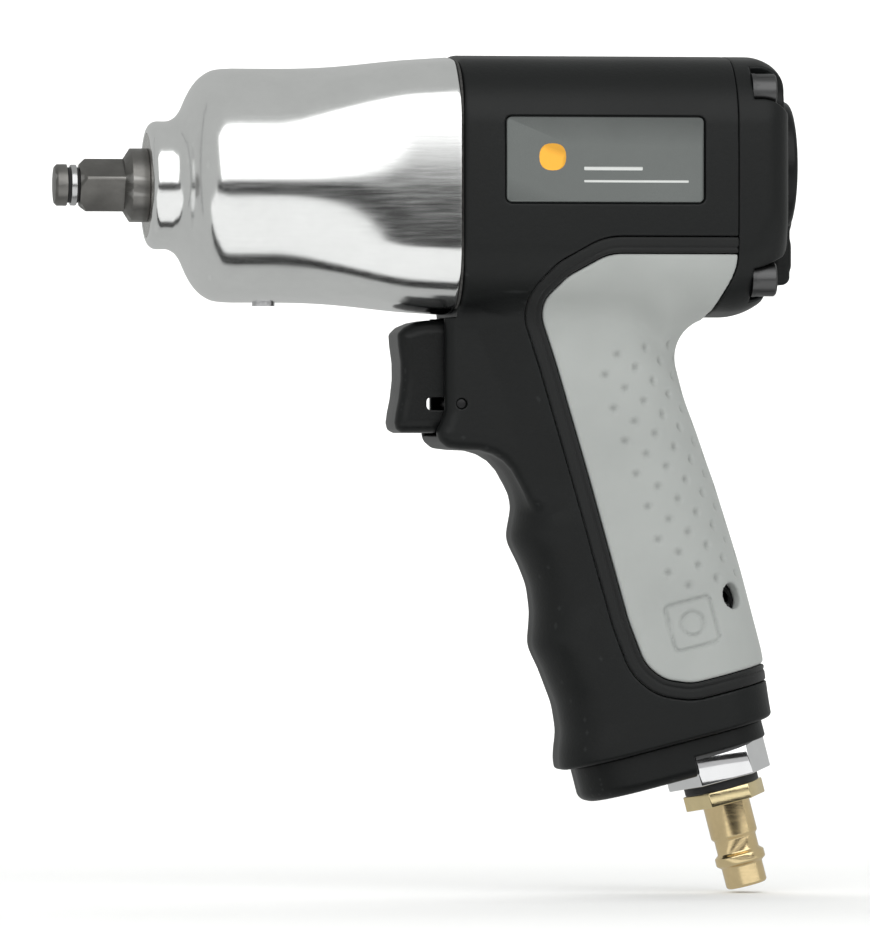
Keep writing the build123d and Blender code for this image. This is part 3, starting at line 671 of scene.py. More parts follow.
def dimple_tree():
    """Presses a round bowl into a surface at each place of another object."""
    tree = bpy.data.node_groups.new("dimples", "GeometryNodeTree")
    face = tree.interface
    face.new_socket("Geometry", in_out="INPUT", socket_type="NodeSocketGeometry")
    face.new_socket("Places", in_out="INPUT", socket_type="NodeSocketObject")
    face.new_socket("Radius", in_out="INPUT", socket_type="NodeSocketFloat").default_value = 0.0013
    face.new_socket("Depth", in_out="INPUT", socket_type="NodeSocketFloat").default_value = 0.0004
    face.new_socket("Material", in_out="INPUT", socket_type="NodeSocketMaterial")
    face.new_socket("Geometry", in_out="OUTPUT", socket_type="NodeSocketGeometry")
    nodes, links = tree.nodes, tree.links
    given = nodes.new("NodeGroupInput")
    places = nodes.new("GeometryNodeObjectInfo")
    places.label = "Where the dimples are"
    nearest = nodes.new("GeometryNodeProximity")
    nearest.label = "Distance to the nearest dimple"
    nearest.target_element = "POINTS"
    reach = nodes.new("ShaderNodeMapRange")
    reach.label = "1 at the middle, 0 at the rim"
    reach.interpolation_type = "SMOOTHERSTEP"
    reach.inputs["From Min"].default_value = 0.0
    reach.inputs["To Min"].default_value = 1.0
    reach.inputs["To Max"].default_value = 0.0
    deep = nodes.new("ShaderNodeMath")
    deep.label = "Depth here"
    deep.operation = "MULTIPLY"
    inward = nodes.new("ShaderNodeMath")
    inward.label = "Inwards"
    inward.operation = "MULTIPLY"
    inward.inputs[1].default_value = -1.0
    normal = nodes.new("GeometryNodeInputNormal")
    push = nodes.new("ShaderNodeVectorMath")
    push.label = "Push along the surface's normal"
    push.operation = "SCALE"
    moved = nodes.new("GeometryNodeSetPosition")
    moved.label = "Press the dimples in"
    real = nodes.new("GeometryNodeRealizeInstances")
    coat = nodes.new("GeometryNodeSetMaterial")
    out = nodes.new("NodeGroupOutput")
    links.new(given.outputs["Places"], places.inputs["Object"])
    links.new(places.outputs["Geometry"], nearest.inputs[0])
    links.new(nearest.outputs["Distance"], reach.inputs["Value"])
    links.new(given.outputs["Radius"], reach.inputs["From Max"])
    links.new(reach.outputs["Result"], deep.inputs[0])
    links.new(given.outputs["Depth"], deep.inputs[1])
    links.new(deep.outputs[0], inward.inputs[0])
    links.new(normal.outputs[0], push.inputs[0])
    links.new(inward.outputs[0], push.inputs["Scale"])
    links.new(given.outputs["Geometry"], moved.inputs["Geometry"])
    links.new(push.outputs[0], moved.inputs["Offset"])
    links.new(moved.outputs[0], real.inputs[0])
    links.new(real.outputs[0], coat.inputs["Geometry"])
    links.new(given.outputs["Material"], coat.inputs["Material"])
    links.new(coat.outputs[0], out.inputs[0])
    for node, spot in (
            (given, (-1000, 0)), (places, (-800, 200)), (nearest, (-600, 200)), (reach, (-400, 150)),
            (deep, (-200, 100)), (inward, (-20, 100)), (normal, (-200, -100)), (push, (160, 0)),
            (moved, (360, 100)), (real, (540, 100)), (coat, (720, 100)), (out, (900, 100))):
        node.location = spot
    return tree


# ---- the wrench's outer shapes, as fields --------------------------------------------

GRIP_STATIONS = np.array([
    (20.0, -26.0, 26.0), (48.0, -22.4, 24.9), (57.9, -22.6, 24.9), (61.4, -22.6, 25.2), (63.7, -21.2, 25.5),
    (68.0, -19.9, 25.9), (71.8, -20.3, 26.2), (75.4, -21.6, 26.5), (78.5, -23.2, 26.8), (80.7, -23.9, 27.0),
    (83.0, -23.5, 27.1), (86.9, -22.6, 27.3), (92.5, -21.9, 27.6), (98.8, -22.7, 27.9), (102.4, -23.9, 28.0),
    (106.0, -25.2, 28.0), (109.0, -24.8, 28.0), (112.1, -24.1, 28.0), (121.5, -23.0, 28.0), (128.0, -23.6,
                                                                                             27.3),
    (131.5, -25.0, 26.9), (134.5, -26.0, 26.6), (139.0, -26.1, 26.3)])
FINE_DOWN = np.linspace(20.0, 139.0, 240)


def eased_column(column):
    """One edge of the grip at fine steps, smoothed so that its waves are round."""
    values = np.interp(FINE_DOWN, GRIP_STATIONS[:, 0], GRIP_STATIONS[:, column])
    weights = np.exp(-0.5 * (np.arange(-6, 7) / 2.4) ** 2)
    padded = np.concatenate([np.full(6, values[0]), values, np.full(6, values[-1])])
    return np.convolve(padded, weights / weights.sum(), "valid")


GRIP_FRONT, GRIP_BACK = eased_column(1), eased_column(2)


def along_grip(x, z):
    """Distance down the grip and distance to its rear, from a place in the side view."""
    down = (x - GRIP_X) * math.sin(LEAN) - z * math.cos(LEAN)
    rear = (x - GRIP_X) * math.cos(LEAN) + z * math.sin(LEAN)
    return down, rear


def seam_x(z):
    """Where the barrel meets the rear cap: flat, but swept forwards under the barrel."""
    return SEAM - 4.8 * ease(-17.5, -33.0, z)


def behind_seam(x, z):
    """Negative in front of the seam with the rear cap, and everywhere below the barrel."""
    return np.minimum(x - seam_x(z), z + 33.4)


BLOCK_LINE = [(91.7, -28.0), (91.7, -53.5), (90.6, -56.6), (89.6, -58.4), (90.2, -60.6), (92.2, -62.3),
              (95.5, -62.7),
              (100.0, -62.9), (103.0, -63.8), (105.6, -65.4), (107.6, -67.6), (109.4, -70.8), (112.0, -76.0),
              (122.0, -78.0), (128.0, -60.0), (128.0, -28.0)]
INSERT_LINE = [(190.0, -16.2), (128.6, -16.2), (118.9, -21.6), (114.0, -27.0), (113.8, -31.5), (117.3, -42.2),
               (125.3, -69.6), (134.8, -103.6), (138.6, -113.6), (143.2, -117.4), (150.2, -118.4),
               (190.0, -108.6)]
INSERT_RADII = [1, 12, 10, 9, 9, 60, 60, 30, 10, 9, 12, 1]
LABEL_MIDDLE, LABEL_HALF_X, LABEL_HALF_Z = (127.6, 5.7), 23.6, 10.1
CAP_SCREW_OFFSET, CAP_POCKET_RADIUS, CAP_POCKET_FLOOR = 22.3, 5.1, 163.6
TAB_SWEEP, SELECTOR_ROOM, TAB_ROOM_FLOOR = 46, 16.2, 167.6    # the sweep is in degrees each way
MARK = (11.3, 110.3)
# Metres. Only the head is lifted, up to the visible case, as the shank's end has to clear the turning cage.
OIL_HEAD_TOP, OIL_HEAD_LIFT = -0.0280, 0.0008
POCKET = {"x": (86.0, 105.4), "z": (-59.3, -31.4), "half": 11.0}

block_outline = Outline(rounded_line(BLOCK_LINE, [1.0] + [2.5] * 12 + [1, 1, 1], 4))
insert_outline = Outline(rounded_line(INSERT_LINE, INSERT_RADII))


def crowned_box(y, z, half_y, half_z, corner):
    """A rounded square section whose sides and top bulge a little."""
    sizes = bpy.context.scene.wrench_housing
    flat_y = np.abs(y) + z * z / (2.0 * sizes.side_crown / MM)
    flat_z = np.abs(z) + y * y / (2.0 * sizes.top_crown / MM)
    return rounded_box(flat_y, flat_z, half_y, half_z, corner)


def barrel_field(x, y, z):
    """The motor barrel, from the hammer case to the rear cap."""
    sizes = bpy.context.scene.wrench_housing
    side = crowned_box(y, z, HALF_Y, HALF_Z, sizes.corner / MM)
    front = meet(side, low_front() - x, sizes.front_edge / MM)
    return meet(front, behind_seam(x, z), 0.35)


def low_front():
    """Where the barrel starts."""
    return CASE_BACK + 0.5


def grip_field(y, z, down, rear):
    """The waved grip without its neck."""
    sizes = bpy.context.scene.wrench_housing
    front, back = np.interp(down, FINE_DOWN, GRIP_FRONT), np.interp(down, FINE_DOWN, GRIP_BACK)
    half = sizes.grip_half_width / MM + 0.9 * ease(96.0, 137.0, down)
    corner = sizes.grip_corner / MM
    side = rounded_box(rear - (front + back) / 2, y, (back - front) / 2, half, corner) * 0.97
    side = meet(side, down - GRIP_END, 1.1)
    return np.maximum(side, z + 15.0)


def body_field(x, y, z):
    """Barrel, trigger block and grip in one."""
    sizes = bpy.context.scene.wrench_housing
    down, rear = along_grip(x, z)
    block = meet(block_outline(x, z), np.abs(y) - 16.3, 3.6)
    block = meet(block, x - 126.0, 1.0)
    lower = join(grip_field(y, z, down, rear), block, 2.5)
    neck = 4.2 + (sizes.neck / MM - 4.2) * ease(15.0, 24.0, rear)
    below = join(barrel_field(x, y, z), lower, neck)
    return np.maximum(below, behind_seam(x, z))


def grip_screw_wells(x, y, z, radius):
    """Round wells on both sides, square to the grip's rounded back corners."""
    down, rear = along_grip(x, z)
    turn = math.cos(math.radians(45.0))
    out = rear * turn + np.abs(y) * turn
    across = (rear - 11.6) * turn - (np.abs(y) - 3.1) * turn
    away = np.hypot(across, down - 106.5) - radius
    return np.maximum(away, 20.0 - out)


def housing_field(x, y, z):
    """The black moulded housing with its label recesses, trigger pocket and seat for the soft grip."""
    sizes = bpy.context.scene.wrench_housing
    skin_depth = sizes.skin / MM
    body = body_field(x, y, z)
    zone = insert_outline(x, z)
    seat = np.maximum(zone - sizes.frame_width / MM - 0.12, -(body + skin_depth + 0.08))
    shape = cut(body, seat, 0.35)
    label = rounded_box(x - LABEL_MIDDLE[0], z - LABEL_MIDDLE[1], LABEL_HALF_X + 0.3, LABEL_HALF_Z + 0.3, 1.6)
    shape = cut(shape, np.maximum(label, HALF_Y - 0.95 - np.abs(y)), 0.3)
    middle_x, middle_z = sum(POCKET["x"]) / 2, sum(POCKET["z"]) / 2
    half_x, half_z = (POCKET["x"][1] - POCKET["x"][0]) / 2, (POCKET["z"][1] - POCKET["z"][0]) / 2
    pocket = rounded_box(x - middle_x, z - middle_z, half_x, half_z, 1.0)
    shape = cut(shape, np.maximum(pocket, np.abs(y) - POCKET["half"]), 0.5)
    under_case = np.maximum(x - low_front(), -(HALF_Z + 0.35) - z)
    shape = np.maximum(shape, -under_case)
    pin = np.hypot(x - 95.3, z + 51.8) - 1.28
    shape = cut(shape, np.maximum(pin, 14.6 - np.abs(y)), 0.25)
    shape = np.maximum(shape, -grip_screw_wells(x, y, z, 3.15))
    return shape


def insert_field(x, y, z):
    """The grey soft grip."""
    sizes = bpy.context.scene.wrench_housing
    body = body_field(x, y, z)
    zone = insert_outline(x, z)
    shape = meet(body, zone + 0.32, 0.7)
    shape = np.maximum(shape, behind_seam(x, z) + 0.25)
    shape = np.maximum(shape, -(body + sizes.skin / MM))
    down, rear = along_grip(x, z)
    frame = np.abs(rounded_box(rear - MARK[0], down - MARK[1], 5.6, 5.5, 1.2))
    ring = np.abs(np.hypot(rear - MARK[0], down - MARK[1]) - 2.7)
    shape = cut(shape, np.maximum(np.minimum(frame, ring) - 0.38, -0.45 - body), 0.12)
    return cut(shape, grip_screw_wells(x, y, z, 3.2), 0.3)


def frame_field(x, y, z):
    """The black frame round the soft grip, with two fine lines along it."""
    sizes = bpy.context.scene.wrench_housing
    width = sizes.frame_width / MM
    body = body_field(x, y, z)
    zone = insert_outline(x, z)
    line = 0.28 * np.exp(-((zone - 1.25) / 0.26) ** 2)
    shape = meet(body + line, zone - width + 0.12, 0.45)
    shape = meet(shape, 0.0 - zone, 0.45)
    shape = np.maximum(shape, behind_seam(x, z) + 0.02)
    return np.maximum(shape, -(body + sizes.skin / MM))


def cap_field(x, y, z):
    """The rear cap with its screw pockets and the step that the selector's tab swings in."""
    sizes = bpy.context.scene.wrench_housing
    side = crowned_box(y, z, HALF_Y, HALF_Z, sizes.corner / MM)
    round_back = 7.5 + 5.5 * ease(-6.0, -24.0, z)
    shape = meet(side, x - CAP_BACK, round_back)
    shape = meet(shape, seam_x(z) + 0.05 - x, 0.4)
    disc = np.hypot(y, z - SELECTOR_Z)
    fan = np.abs(y) * math.cos(math.radians(TAB_SWEEP)) + (z - SELECTOR_Z) * math.sin(math.radians(TAB_SWEEP))
    step = np.maximum(np.maximum(fan, SELECTOR_ROOM - disc), TAB_ROOM_FLOOR - x)
    shape = cut(shape, step, 0.8)
    away_y, away_z = np.abs(y) - CAP_SCREW_OFFSET, np.abs(z) - CAP_SCREW_OFFSET
    slot = np.hypot(away_y, away_z)
    outward = (away_y + away_z) / math.sqrt(2.0)
    beside = np.abs(away_y - away_z) / math.sqrt(2.0)
    pocket = np.where(outward > 0, beside, slot) - CAP_POCKET_RADIUS
    shape = cut(shape, np.maximum(pocket, CAP_POCKET_FLOOR - x), 0.6)
    shape = np.maximum(shape, -(disc - 7.05))
    hollow = np.maximum(np.hypot(y, z) - 22.0, x - 162.5)
    return np.maximum(shape, -np.maximum(hollow, 12.5 - disc))


def trigger_field(x, y, z):
    """The curved trigger with a slot for its pin."""
    shape = meet(trigger_outline(x, z), np.abs(y) - 10.4, 3.2)
    shape = meet(shape, x - 97.9, 0.3)
    slot = rounded_box(x - 92.3, z + 51.8, 4.6, 1.5, 1.0)
    shape = cut(shape, slot, 0.2)
    hollow = np.maximum(rounded_box(x - 94.0, z + 38.2, 5.0, 9.5, 1.0), np.abs(y) - 8.0)
    hollow = np.maximum(hollow, -(np.hypot(y, z + 44.0) - 5.0))
    shape = cut(shape, hollow, 0.3)
    return np.maximum(shape, -np.maximum(np.hypot(y, z + 44.0) - 2.5, 90.0 - x))


def selector_field(x, y, z):
    """The selector: a domed disc with a thumb tab below it."""
    disc = np.hypot(y, z - SELECTOR_Z)
    dome = x - (176.8 - 0.55 * (disc / 15.6) ** 2)
    shape = meet(disc - 15.65, dome, 1.3)
    shape = meet(shape, 172.75 - x, 0.3)
    shape = cut(shape, np.maximum(np.abs(disc - 12.6) - 0.35, 176.05 - x), 0.15)
    shape = cut(shape, np.maximum(np.hypot(y, z - 15.9) - 1.15, 174.8 - x), 0.2)
    arm = meet(rounded_box(y, z + 13.0, 5.4, 6.5, 1.0), np.abs(x - 174.35) - 1.75, 0.8)
    tab_side = rounded_box(x - 171.95, z + 17.9, 4.1, 5.5, 2.0)
    tab = meet(tab_side, np.abs(y) - 5.9, 1.3)
    tab = np.maximum(tab, -meet(rounded_box(x - 175.6, z + 15.4, 1.0, 1.2, 0.5), np.abs(y) - 4.2, 0.4))
    shape = join(shape, join(arm, tab, 1.2), 1.0)
    shape = cut(shape, np.maximum(disc - 4.25, 174.35 - x), 0.2)
    shape = np.maximum(shape, -(disc - 1.65))
    stud = np.maximum(np.maximum(np.abs(y), np.abs(z - SELECTOR_Z)) - 3.0, x - 174.1)
    return np.maximum(shape, -stud)


def deflector_field(x, y, z):
    """The exhaust deflector under the grip, open where the inlet's hexagon passes."""
    down, rear = along_grip(x, z)
    side = rounded_box(rear - 0.75, y, 23.25, 16.5, 14.0)
    shape = meet(side, down - 146.0, 2.6)
    shape = meet(shape, 137.05 - down, 0.4)
    room = np.maximum(np.minimum(np.hypot(rear - 11.4, y) - 13.3, 4.2 - rear), 141.35 - down)
    shape = cut(shape, room, 0.6)
    shape = np.maximum(shape, -(np.hypot(rear - 11.4, y) - 8.3))
    chamber = np.maximum(np.maximum(np.abs(rear + 10.0) - 7.5, np.abs(y) - 12.0), down - 142.2)
    shape = np.maximum(shape, -chamber)
    comb = np.abs((y + 2.4) % 4.8 - 2.4) - 1.05
    slots = np.maximum(np.maximum(comb, np.abs(y) - 11.0), np.abs(rear + 10.0) - 6.0)
    return cut(shape, np.maximum(slots, 141.0 - down), 0.25)


TRIGGER_LINE = [(104.0, -32.0), (88.0, -32.0), (85.2, -32.5), (82.6, -33.6), (81.0, -35.2), (81.2, -38.0),
                (81.75, -42.0), (81.8, -46.0), (81.3, -50.5), (80.6, -54.0), (80.3, -56.3), (80.7, -57.9),
                (82.0, -58.7), (104.0, -58.7)]
trigger_outline = Outline(rounded_line(TRIGGER_LINE, [0.5, 4, 3, 2, 1.4, 4, 6, 6, 6, 3, 1.5, 1, 1.5, 0.5],
                                       4), 8.0, 0.15)


# ---- finishes ------------------------------------------------------------------------

def moulded_plastic(name, colour, grain=900.0, gloss=0.42):
    """Moulded engineering plastic: a fine spark-eroded grain, faint handling marks and worn edges."""
    material = bpy.data.materials.new(name)
    material.use_nodes = True
    nodes, links = material.node_tree.nodes, material.node_tree.links
    nodes.clear()
    frames = {}
    for label, x in (("Place", -1500), ("Colour", -1150), ("Grain", -750), ("Surface", -250)):
        box = nodes.new("NodeFrame")
        box.label = label
        box.location = (x, 300)
        frames[label] = box
    place = nodes.new("ShaderNodeTexCoord")
    place.label = "Place on the moulding"
    cloud = nodes.new("ShaderNodeTexNoise")
    cloud.label = "Uneven handling"
    cloud.inputs["Scale"].default_value = 38.0
    cloud.inputs["Detail"].default_value = 6.0
    cloud.inputs["Roughness"].default_value = 0.6
    shade = nodes.new("ShaderNodeValToRGB")
    shade.label = "Slightly greyer where handled"
    shade.color_ramp.elements[0].position = 0.3
    shade.color_ramp.elements[0].color = (*[c * 0.86 for c in colour], 1)
    shade.color_ramp.elements[1].position = 0.75
    shade.color_ramp.elements[1].color = (*[c * 1.18 for c in colour], 1)
    edge = nodes.new("ShaderNodeNewGeometry")
    edge.label = "Where edges are"
    rub = nodes.new("ShaderNodeMapRange")
    rub.label = "Rubbed edges only"
    rub.inputs["From Min"].default_value = 0.53
    rub.inputs["From Max"].default_value = 0.64
    rub.inputs["To Max"].default_value = 0.5
    worn = nodes.new("ShaderNodeMix")
    worn.label = "Paler rubbed edge"
    worn.data_type = "RGBA"
    worn.inputs["B"].default_value = (*[c * 2.0 + 0.012 for c in colour], 1)
    pits = nodes.new("ShaderNodeTexVoronoi")
    pits.label = "Spark-eroded pits"
    pits.inputs["Scale"].default_value = grain
    fine = nodes.new("ShaderNodeTexNoise")
    fine.label = "Finer grain between them"
    fine.inputs["Scale"].default_value = grain * 2.2
    fine.inputs["Detail"].default_value = 3.0
    both = nodes.new("ShaderNodeMath")
    both.label = "Pits and grain"
    both.operation = "MULTIPLY_ADD"
    both.inputs[1].default_value = 0.7
    sheen = nodes.new("ShaderNodeMapRange")
    sheen.label = "Gloss follows handling"
    sheen.inputs["To Min"].default_value = gloss + 0.08
    sheen.inputs["To Max"].default_value = gloss - 0.06
    relief = nodes.new("ShaderNodeBump")
    relief.label = "Grain relief"
    relief.inputs["Strength"].default_value = 0.22
    relief.inputs["Distance"].default_value = 0.00012
    surface = nodes.new("ShaderNodeBsdfPrincipled")
    surface.label = "Moulded plastic"
    surface.inputs["IOR"].default_value = 1.48
    surface.inputs["Specular IOR Level"].default_value = 0.27
    output = nodes.new("ShaderNodeOutputMaterial")
    output.label = "Out"
    output.location = (280, 100)
    links.new(place.outputs["Object"], cloud.inputs["Vector"])
    links.new(place.outputs["Object"], pits.inputs["Vector"])
    links.new(place.outputs["Object"], fine.inputs["Vector"])
    links.new(cloud.outputs["Fac"], shade.inputs["Fac"])
    links.new(edge.outputs["Pointiness"], rub.inputs["Value"])
    links.new(rub.outputs["Result"], worn.inputs["Factor"])
    links.new(shade.outputs["Color"], worn.inputs["A"])
    links.new(worn.outputs["Result"], surface.inputs["Base Color"])
    links.new(pits.outputs["Distance"], both.inputs[0])
    links.new(fine.outputs["Fac"], both.inputs[2])
    links.new(both.outputs["Value"], relief.inputs["Height"])
    links.new(cloud.outputs["Fac"], sheen.inputs["Value"])
    links.new(sheen.outputs["Result"], surface.inputs["Roughness"])
    links.new(relief.outputs["Normal"], surface.inputs["Normal"])
    links.new(surface.outputs["BSDF"], output.inputs["Surface"])
    for node, spot, group in (
            (place, (-1500, 0), "Place"), (cloud, (-1150, 250), "Colour"),
            (shade, (-950, 250), "Colour"), (edge, (-1150, -50), "Colour"), (rub, (-950, -50), "Colour"),
            (worn, (-720, 200), "Colour"), (pits, (-750, -250), "Grain"), (fine, (-750, -500), "Grain"),
            (both, (-540, -350), "Grain"), (sheen, (-540, 0), "Grain"),
            (relief, (-300, -300), "Surface"), (surface, (-50, 100), "Surface")):
        node.location = spot
        node.parent = frames[group]
    return material


def soft_rubber(name, colour, grain=1500.0):
    """Soft-touch rubber: a dull stipple, painted shade in the hollows and a soft sheen."""
    material = bpy.data.materials.new(name)
    material.use_nodes = True
    nodes, links = material.node_tree.nodes, material.node_tree.links
    nodes.clear()
    frames = {}
    for label, x in (("Place", -1500), ("Colour", -1150), ("Stipple", -750), ("Surface", -250)):
        box = nodes.new("NodeFrame")
        box.label = label
        box.location = (x, 300)
        frames[label] = box
    place = nodes.new("ShaderNodeTexCoord")
    place.label = "Place on the rubber"
    grime = nodes.new("ShaderNodeTexNoise")
    grime.label = "Palm marks"
    grime.inputs["Scale"].default_value = 55.0
    grime.inputs["Detail"].default_value = 5.0
    tone = nodes.new("ShaderNodeValToRGB")
    tone.label = "Faint mottling"
    tone.color_ramp.elements[0].position = 0.25
    tone.color_ramp.elements[0].color = (*[c * 0.93 for c in colour], 1)
    tone.color_ramp.elements[1].position = 0.8
    tone.color_ramp.elements[1].color = (*[min(1.0, c * 1.05) for c in colour], 1)
    bend = nodes.new("ShaderNodeNewGeometry")
    bend.label = "Where hollows are"
    # Painted shade: concave places, found from pointiness, are darkened to less than half of the rubber's
    # colour.
    hollow = nodes.new("ShaderNodeMapRange")
    hollow.label = "Painted shade in hollows"
    hollow.inputs["From Min"].default_value = 0.49
    hollow.inputs["From Max"].default_value = 0.40
    hollow.inputs["To Max"].default_value = 0.45
    painted_shade = nodes.new("ShaderNodeMix")
    painted_shade.label = "Darker hollows"
    painted_shade.data_type = "RGBA"
    painted_shade.inputs["B"].default_value = (*[c * 0.45 for c in colour], 1)
    stipple = nodes.new("ShaderNodeTexNoise")
    stipple.label = "Mould stipple"
    stipple.inputs["Scale"].default_value = grain
    stipple.inputs["Detail"].default_value = 4.0
    dull = nodes.new("ShaderNodeMapRange")
    dull.label = "Dullness"
    dull.inputs["To Min"].default_value = 0.56
    dull.inputs["To Max"].default_value = 0.72
    relief = nodes.new("ShaderNodeBump")
    relief.label = "Stipple relief"
    relief.inputs["Strength"].default_value = 0.18
    relief.inputs["Distance"].default_value = 0.0001
    surface = nodes.new("ShaderNodeBsdfPrincipled")
    surface.label = "Soft rubber"
    surface.inputs["Sheen Weight"].default_value = 0.12
    surface.inputs["Sheen Roughness"].default_value = 0.5
    surface.inputs["Specular IOR Level"].default_value = 0.35
    output = nodes.new("ShaderNodeOutputMaterial")
    output.label = "Out"
    output.location = (280, 100)
    links.new(place.outputs["Object"], grime.inputs["Vector"])
    links.new(place.outputs["Object"], stipple.inputs["Vector"])
    links.new(grime.outputs["Fac"], tone.inputs["Fac"])
    links.new(bend.outputs["Pointiness"], hollow.inputs["Value"])
    links.new(hollow.outputs["Result"], painted_shade.inputs["Factor"])
    links.new(tone.outputs["Color"], painted_shade.inputs["A"])
    links.new(painted_shade.outputs["Result"], surface.inputs["Base Color"])
    links.new(grime.outputs["Fac"], dull.inputs["Value"])
    links.new(dull.outputs["Result"], surface.inputs["Roughness"])
    links.new(stipple.outputs["Fac"], relief.inputs["Height"])
    links.new(relief.outputs["Normal"], surface.inputs["Normal"])
    links.new(surface.outputs["BSDF"], output.inputs["Surface"])
    for node, spot, group in (
            (place, (-1500, 0), "Place"), (grime, (-1150, 250), "Colour"), (tone, (-950, 250), "Colour"),
            (bend, (-1150, -50), "Colour"), (hollow, (-950, -50), "Colour"),
            (painted_shade, (-720, 200), "Colour"), (stipple, (-750, -250), "Stipple"),
            (dull, (-540, 0), "Stipple"), (relief, (-300, -300), "Surface"),
            (surface, (-50, 100), "Surface")):
        node.location = spot
        node.parent = frames[group]
    return material


def worked_metal(name, colour, dark, gloss=(0.14, 0.26), stretch=(40.0, 900.0, 900.0), relief_depth=0.00002,
                 turn=(0.0, 0.0, 0.0), patina=0.5, edge_wear=0.6):
    """Worked metal: tool marks drawn out one way, a darker patina in patches and bright worn edges."""
    material = bpy.data.materials.new(name)
    material.use_nodes = True
    nodes, links = material.node_tree.nodes, material.node_tree.links
    nodes.clear()
    frames = {}
    for label, x in (("Place", -1700), ("Patina", -1150), ("Tool marks", -750), ("Surface", -250)):
        box = nodes.new("NodeFrame")
        box.label = label
        box.location = (x, 300)
        frames[label] = box
    place = nodes.new("ShaderNodeTexCoord")
    place.label = "Place on the metal"
    drawn = nodes.new("ShaderNodeMapping")
    drawn.label = "Draws the marks out along the cut"
    drawn.inputs["Rotation"].default_value = turn
    drawn.inputs["Scale"].default_value = stretch
    patch = nodes.new("ShaderNodeTexNoise")
    patch.label = "Patches of patina"
    patch.inputs["Scale"].default_value = 120.0
    patch.inputs["Detail"].default_value = 7.0
    patch.inputs["Roughness"].default_value = 0.65
    spread = nodes.new("ShaderNodeMapRange")
    spread.label = "How far the patina spreads"
    spread.inputs["From Min"].default_value = 0.35
    spread.inputs["From Max"].default_value = 0.7
    spread.inputs["To Max"].default_value = patina
    aged = nodes.new("ShaderNodeMix")
    aged.label = "Metal with patina"
    aged.data_type = "RGBA"
    aged.inputs["A"].default_value = (*colour, 1)
    aged.inputs["B"].default_value = (*dark, 1)
    edge = nodes.new("ShaderNodeNewGeometry")
    edge.label = "Where edges are"
    rub = nodes.new("ShaderNodeMapRange")
    rub.label = "Worn edges only"
    rub.inputs["From Min"].default_value = 0.52
    rub.inputs["From Max"].default_value = 0.6
    rub.inputs["To Max"].default_value = edge_wear
    bright = nodes.new("ShaderNodeMix")
    bright.label = "Bright worn edge"
    bright.data_type = "RGBA"
    bright.inputs["B"].default_value = (*[min(1.0, c * 1.25 + 0.12) for c in colour], 1)
    marks = nodes.new("ShaderNodeTexNoise")
    marks.label = "Tool marks"
    marks.inputs["Scale"].default_value = 1.0
    marks.inputs["Detail"].default_value = 4.0
    marks.inputs["Roughness"].default_value = 0.6
    polish = nodes.new("ShaderNodeMapRange")
    polish.label = "Polish varies with the marks"
    polish.inputs["From Min"].default_value = 0.3
    polish.inputs["From Max"].default_value = 0.7
    polish.inputs["To Min"].default_value = gloss[0]
    polish.inputs["To Max"].default_value = gloss[1]
    relief = nodes.new("ShaderNodeBump")
    relief.label = "Depth of the marks"
    relief.inputs["Strength"].default_value = 0.25
    relief.inputs["Distance"].default_value = relief_depth
    surface = nodes.new("ShaderNodeBsdfPrincipled")
    surface.label = "Metal"
    surface.inputs["Metallic"].default_value = 1.0
    output = nodes.new("ShaderNodeOutputMaterial")
    output.label = "Out"
    output.location = (280, 100)
    links.new(place.outputs["Object"], patch.inputs["Vector"])
    links.new(place.outputs["Object"], drawn.inputs["Vector"])
    links.new(drawn.outputs["Vector"], marks.inputs["Vector"])
    links.new(patch.outputs["Fac"], spread.inputs["Value"])
    links.new(spread.outputs["Result"], aged.inputs["Factor"])
    links.new(edge.outputs["Pointiness"], rub.inputs["Value"])
    links.new(rub.outputs["Result"], bright.inputs["Factor"])
    links.new(aged.outputs["Result"], bright.inputs["A"])
    links.new(bright.outputs["Result"], surface.inputs["Base Color"])
    links.new(marks.outputs["Fac"], polish.inputs["Value"])
    links.new(polish.outputs["Result"], surface.inputs["Roughness"])
    links.new(marks.outputs["Fac"], relief.inputs["Height"])
    links.new(relief.outputs["Normal"], surface.inputs["Normal"])
    links.new(surface.outputs["BSDF"], output.inputs["Surface"])
    for node, spot, group in (
            (place, (-1700, 0), "Place"), (drawn, (-1480, -250), "Place"),
            (patch, (-1150, 250), "Patina"), (spread, (-950, 250), "Patina"),
            (aged, (-720, 300), "Patina"), (edge, (-1150, -50), "Patina"), (rub, (-950, -50), "Patina"),
            (bright, (-500, 250), "Patina"), (marks, (-750, -250), "Tool marks"),
            (polish, (-540, -50), "Tool marks"), (relief, (-300, -300), "Surface"),
            (surface, (-50, 100), "Surface")):
        node.location = spot
        node.parent = frames[group]
    return material


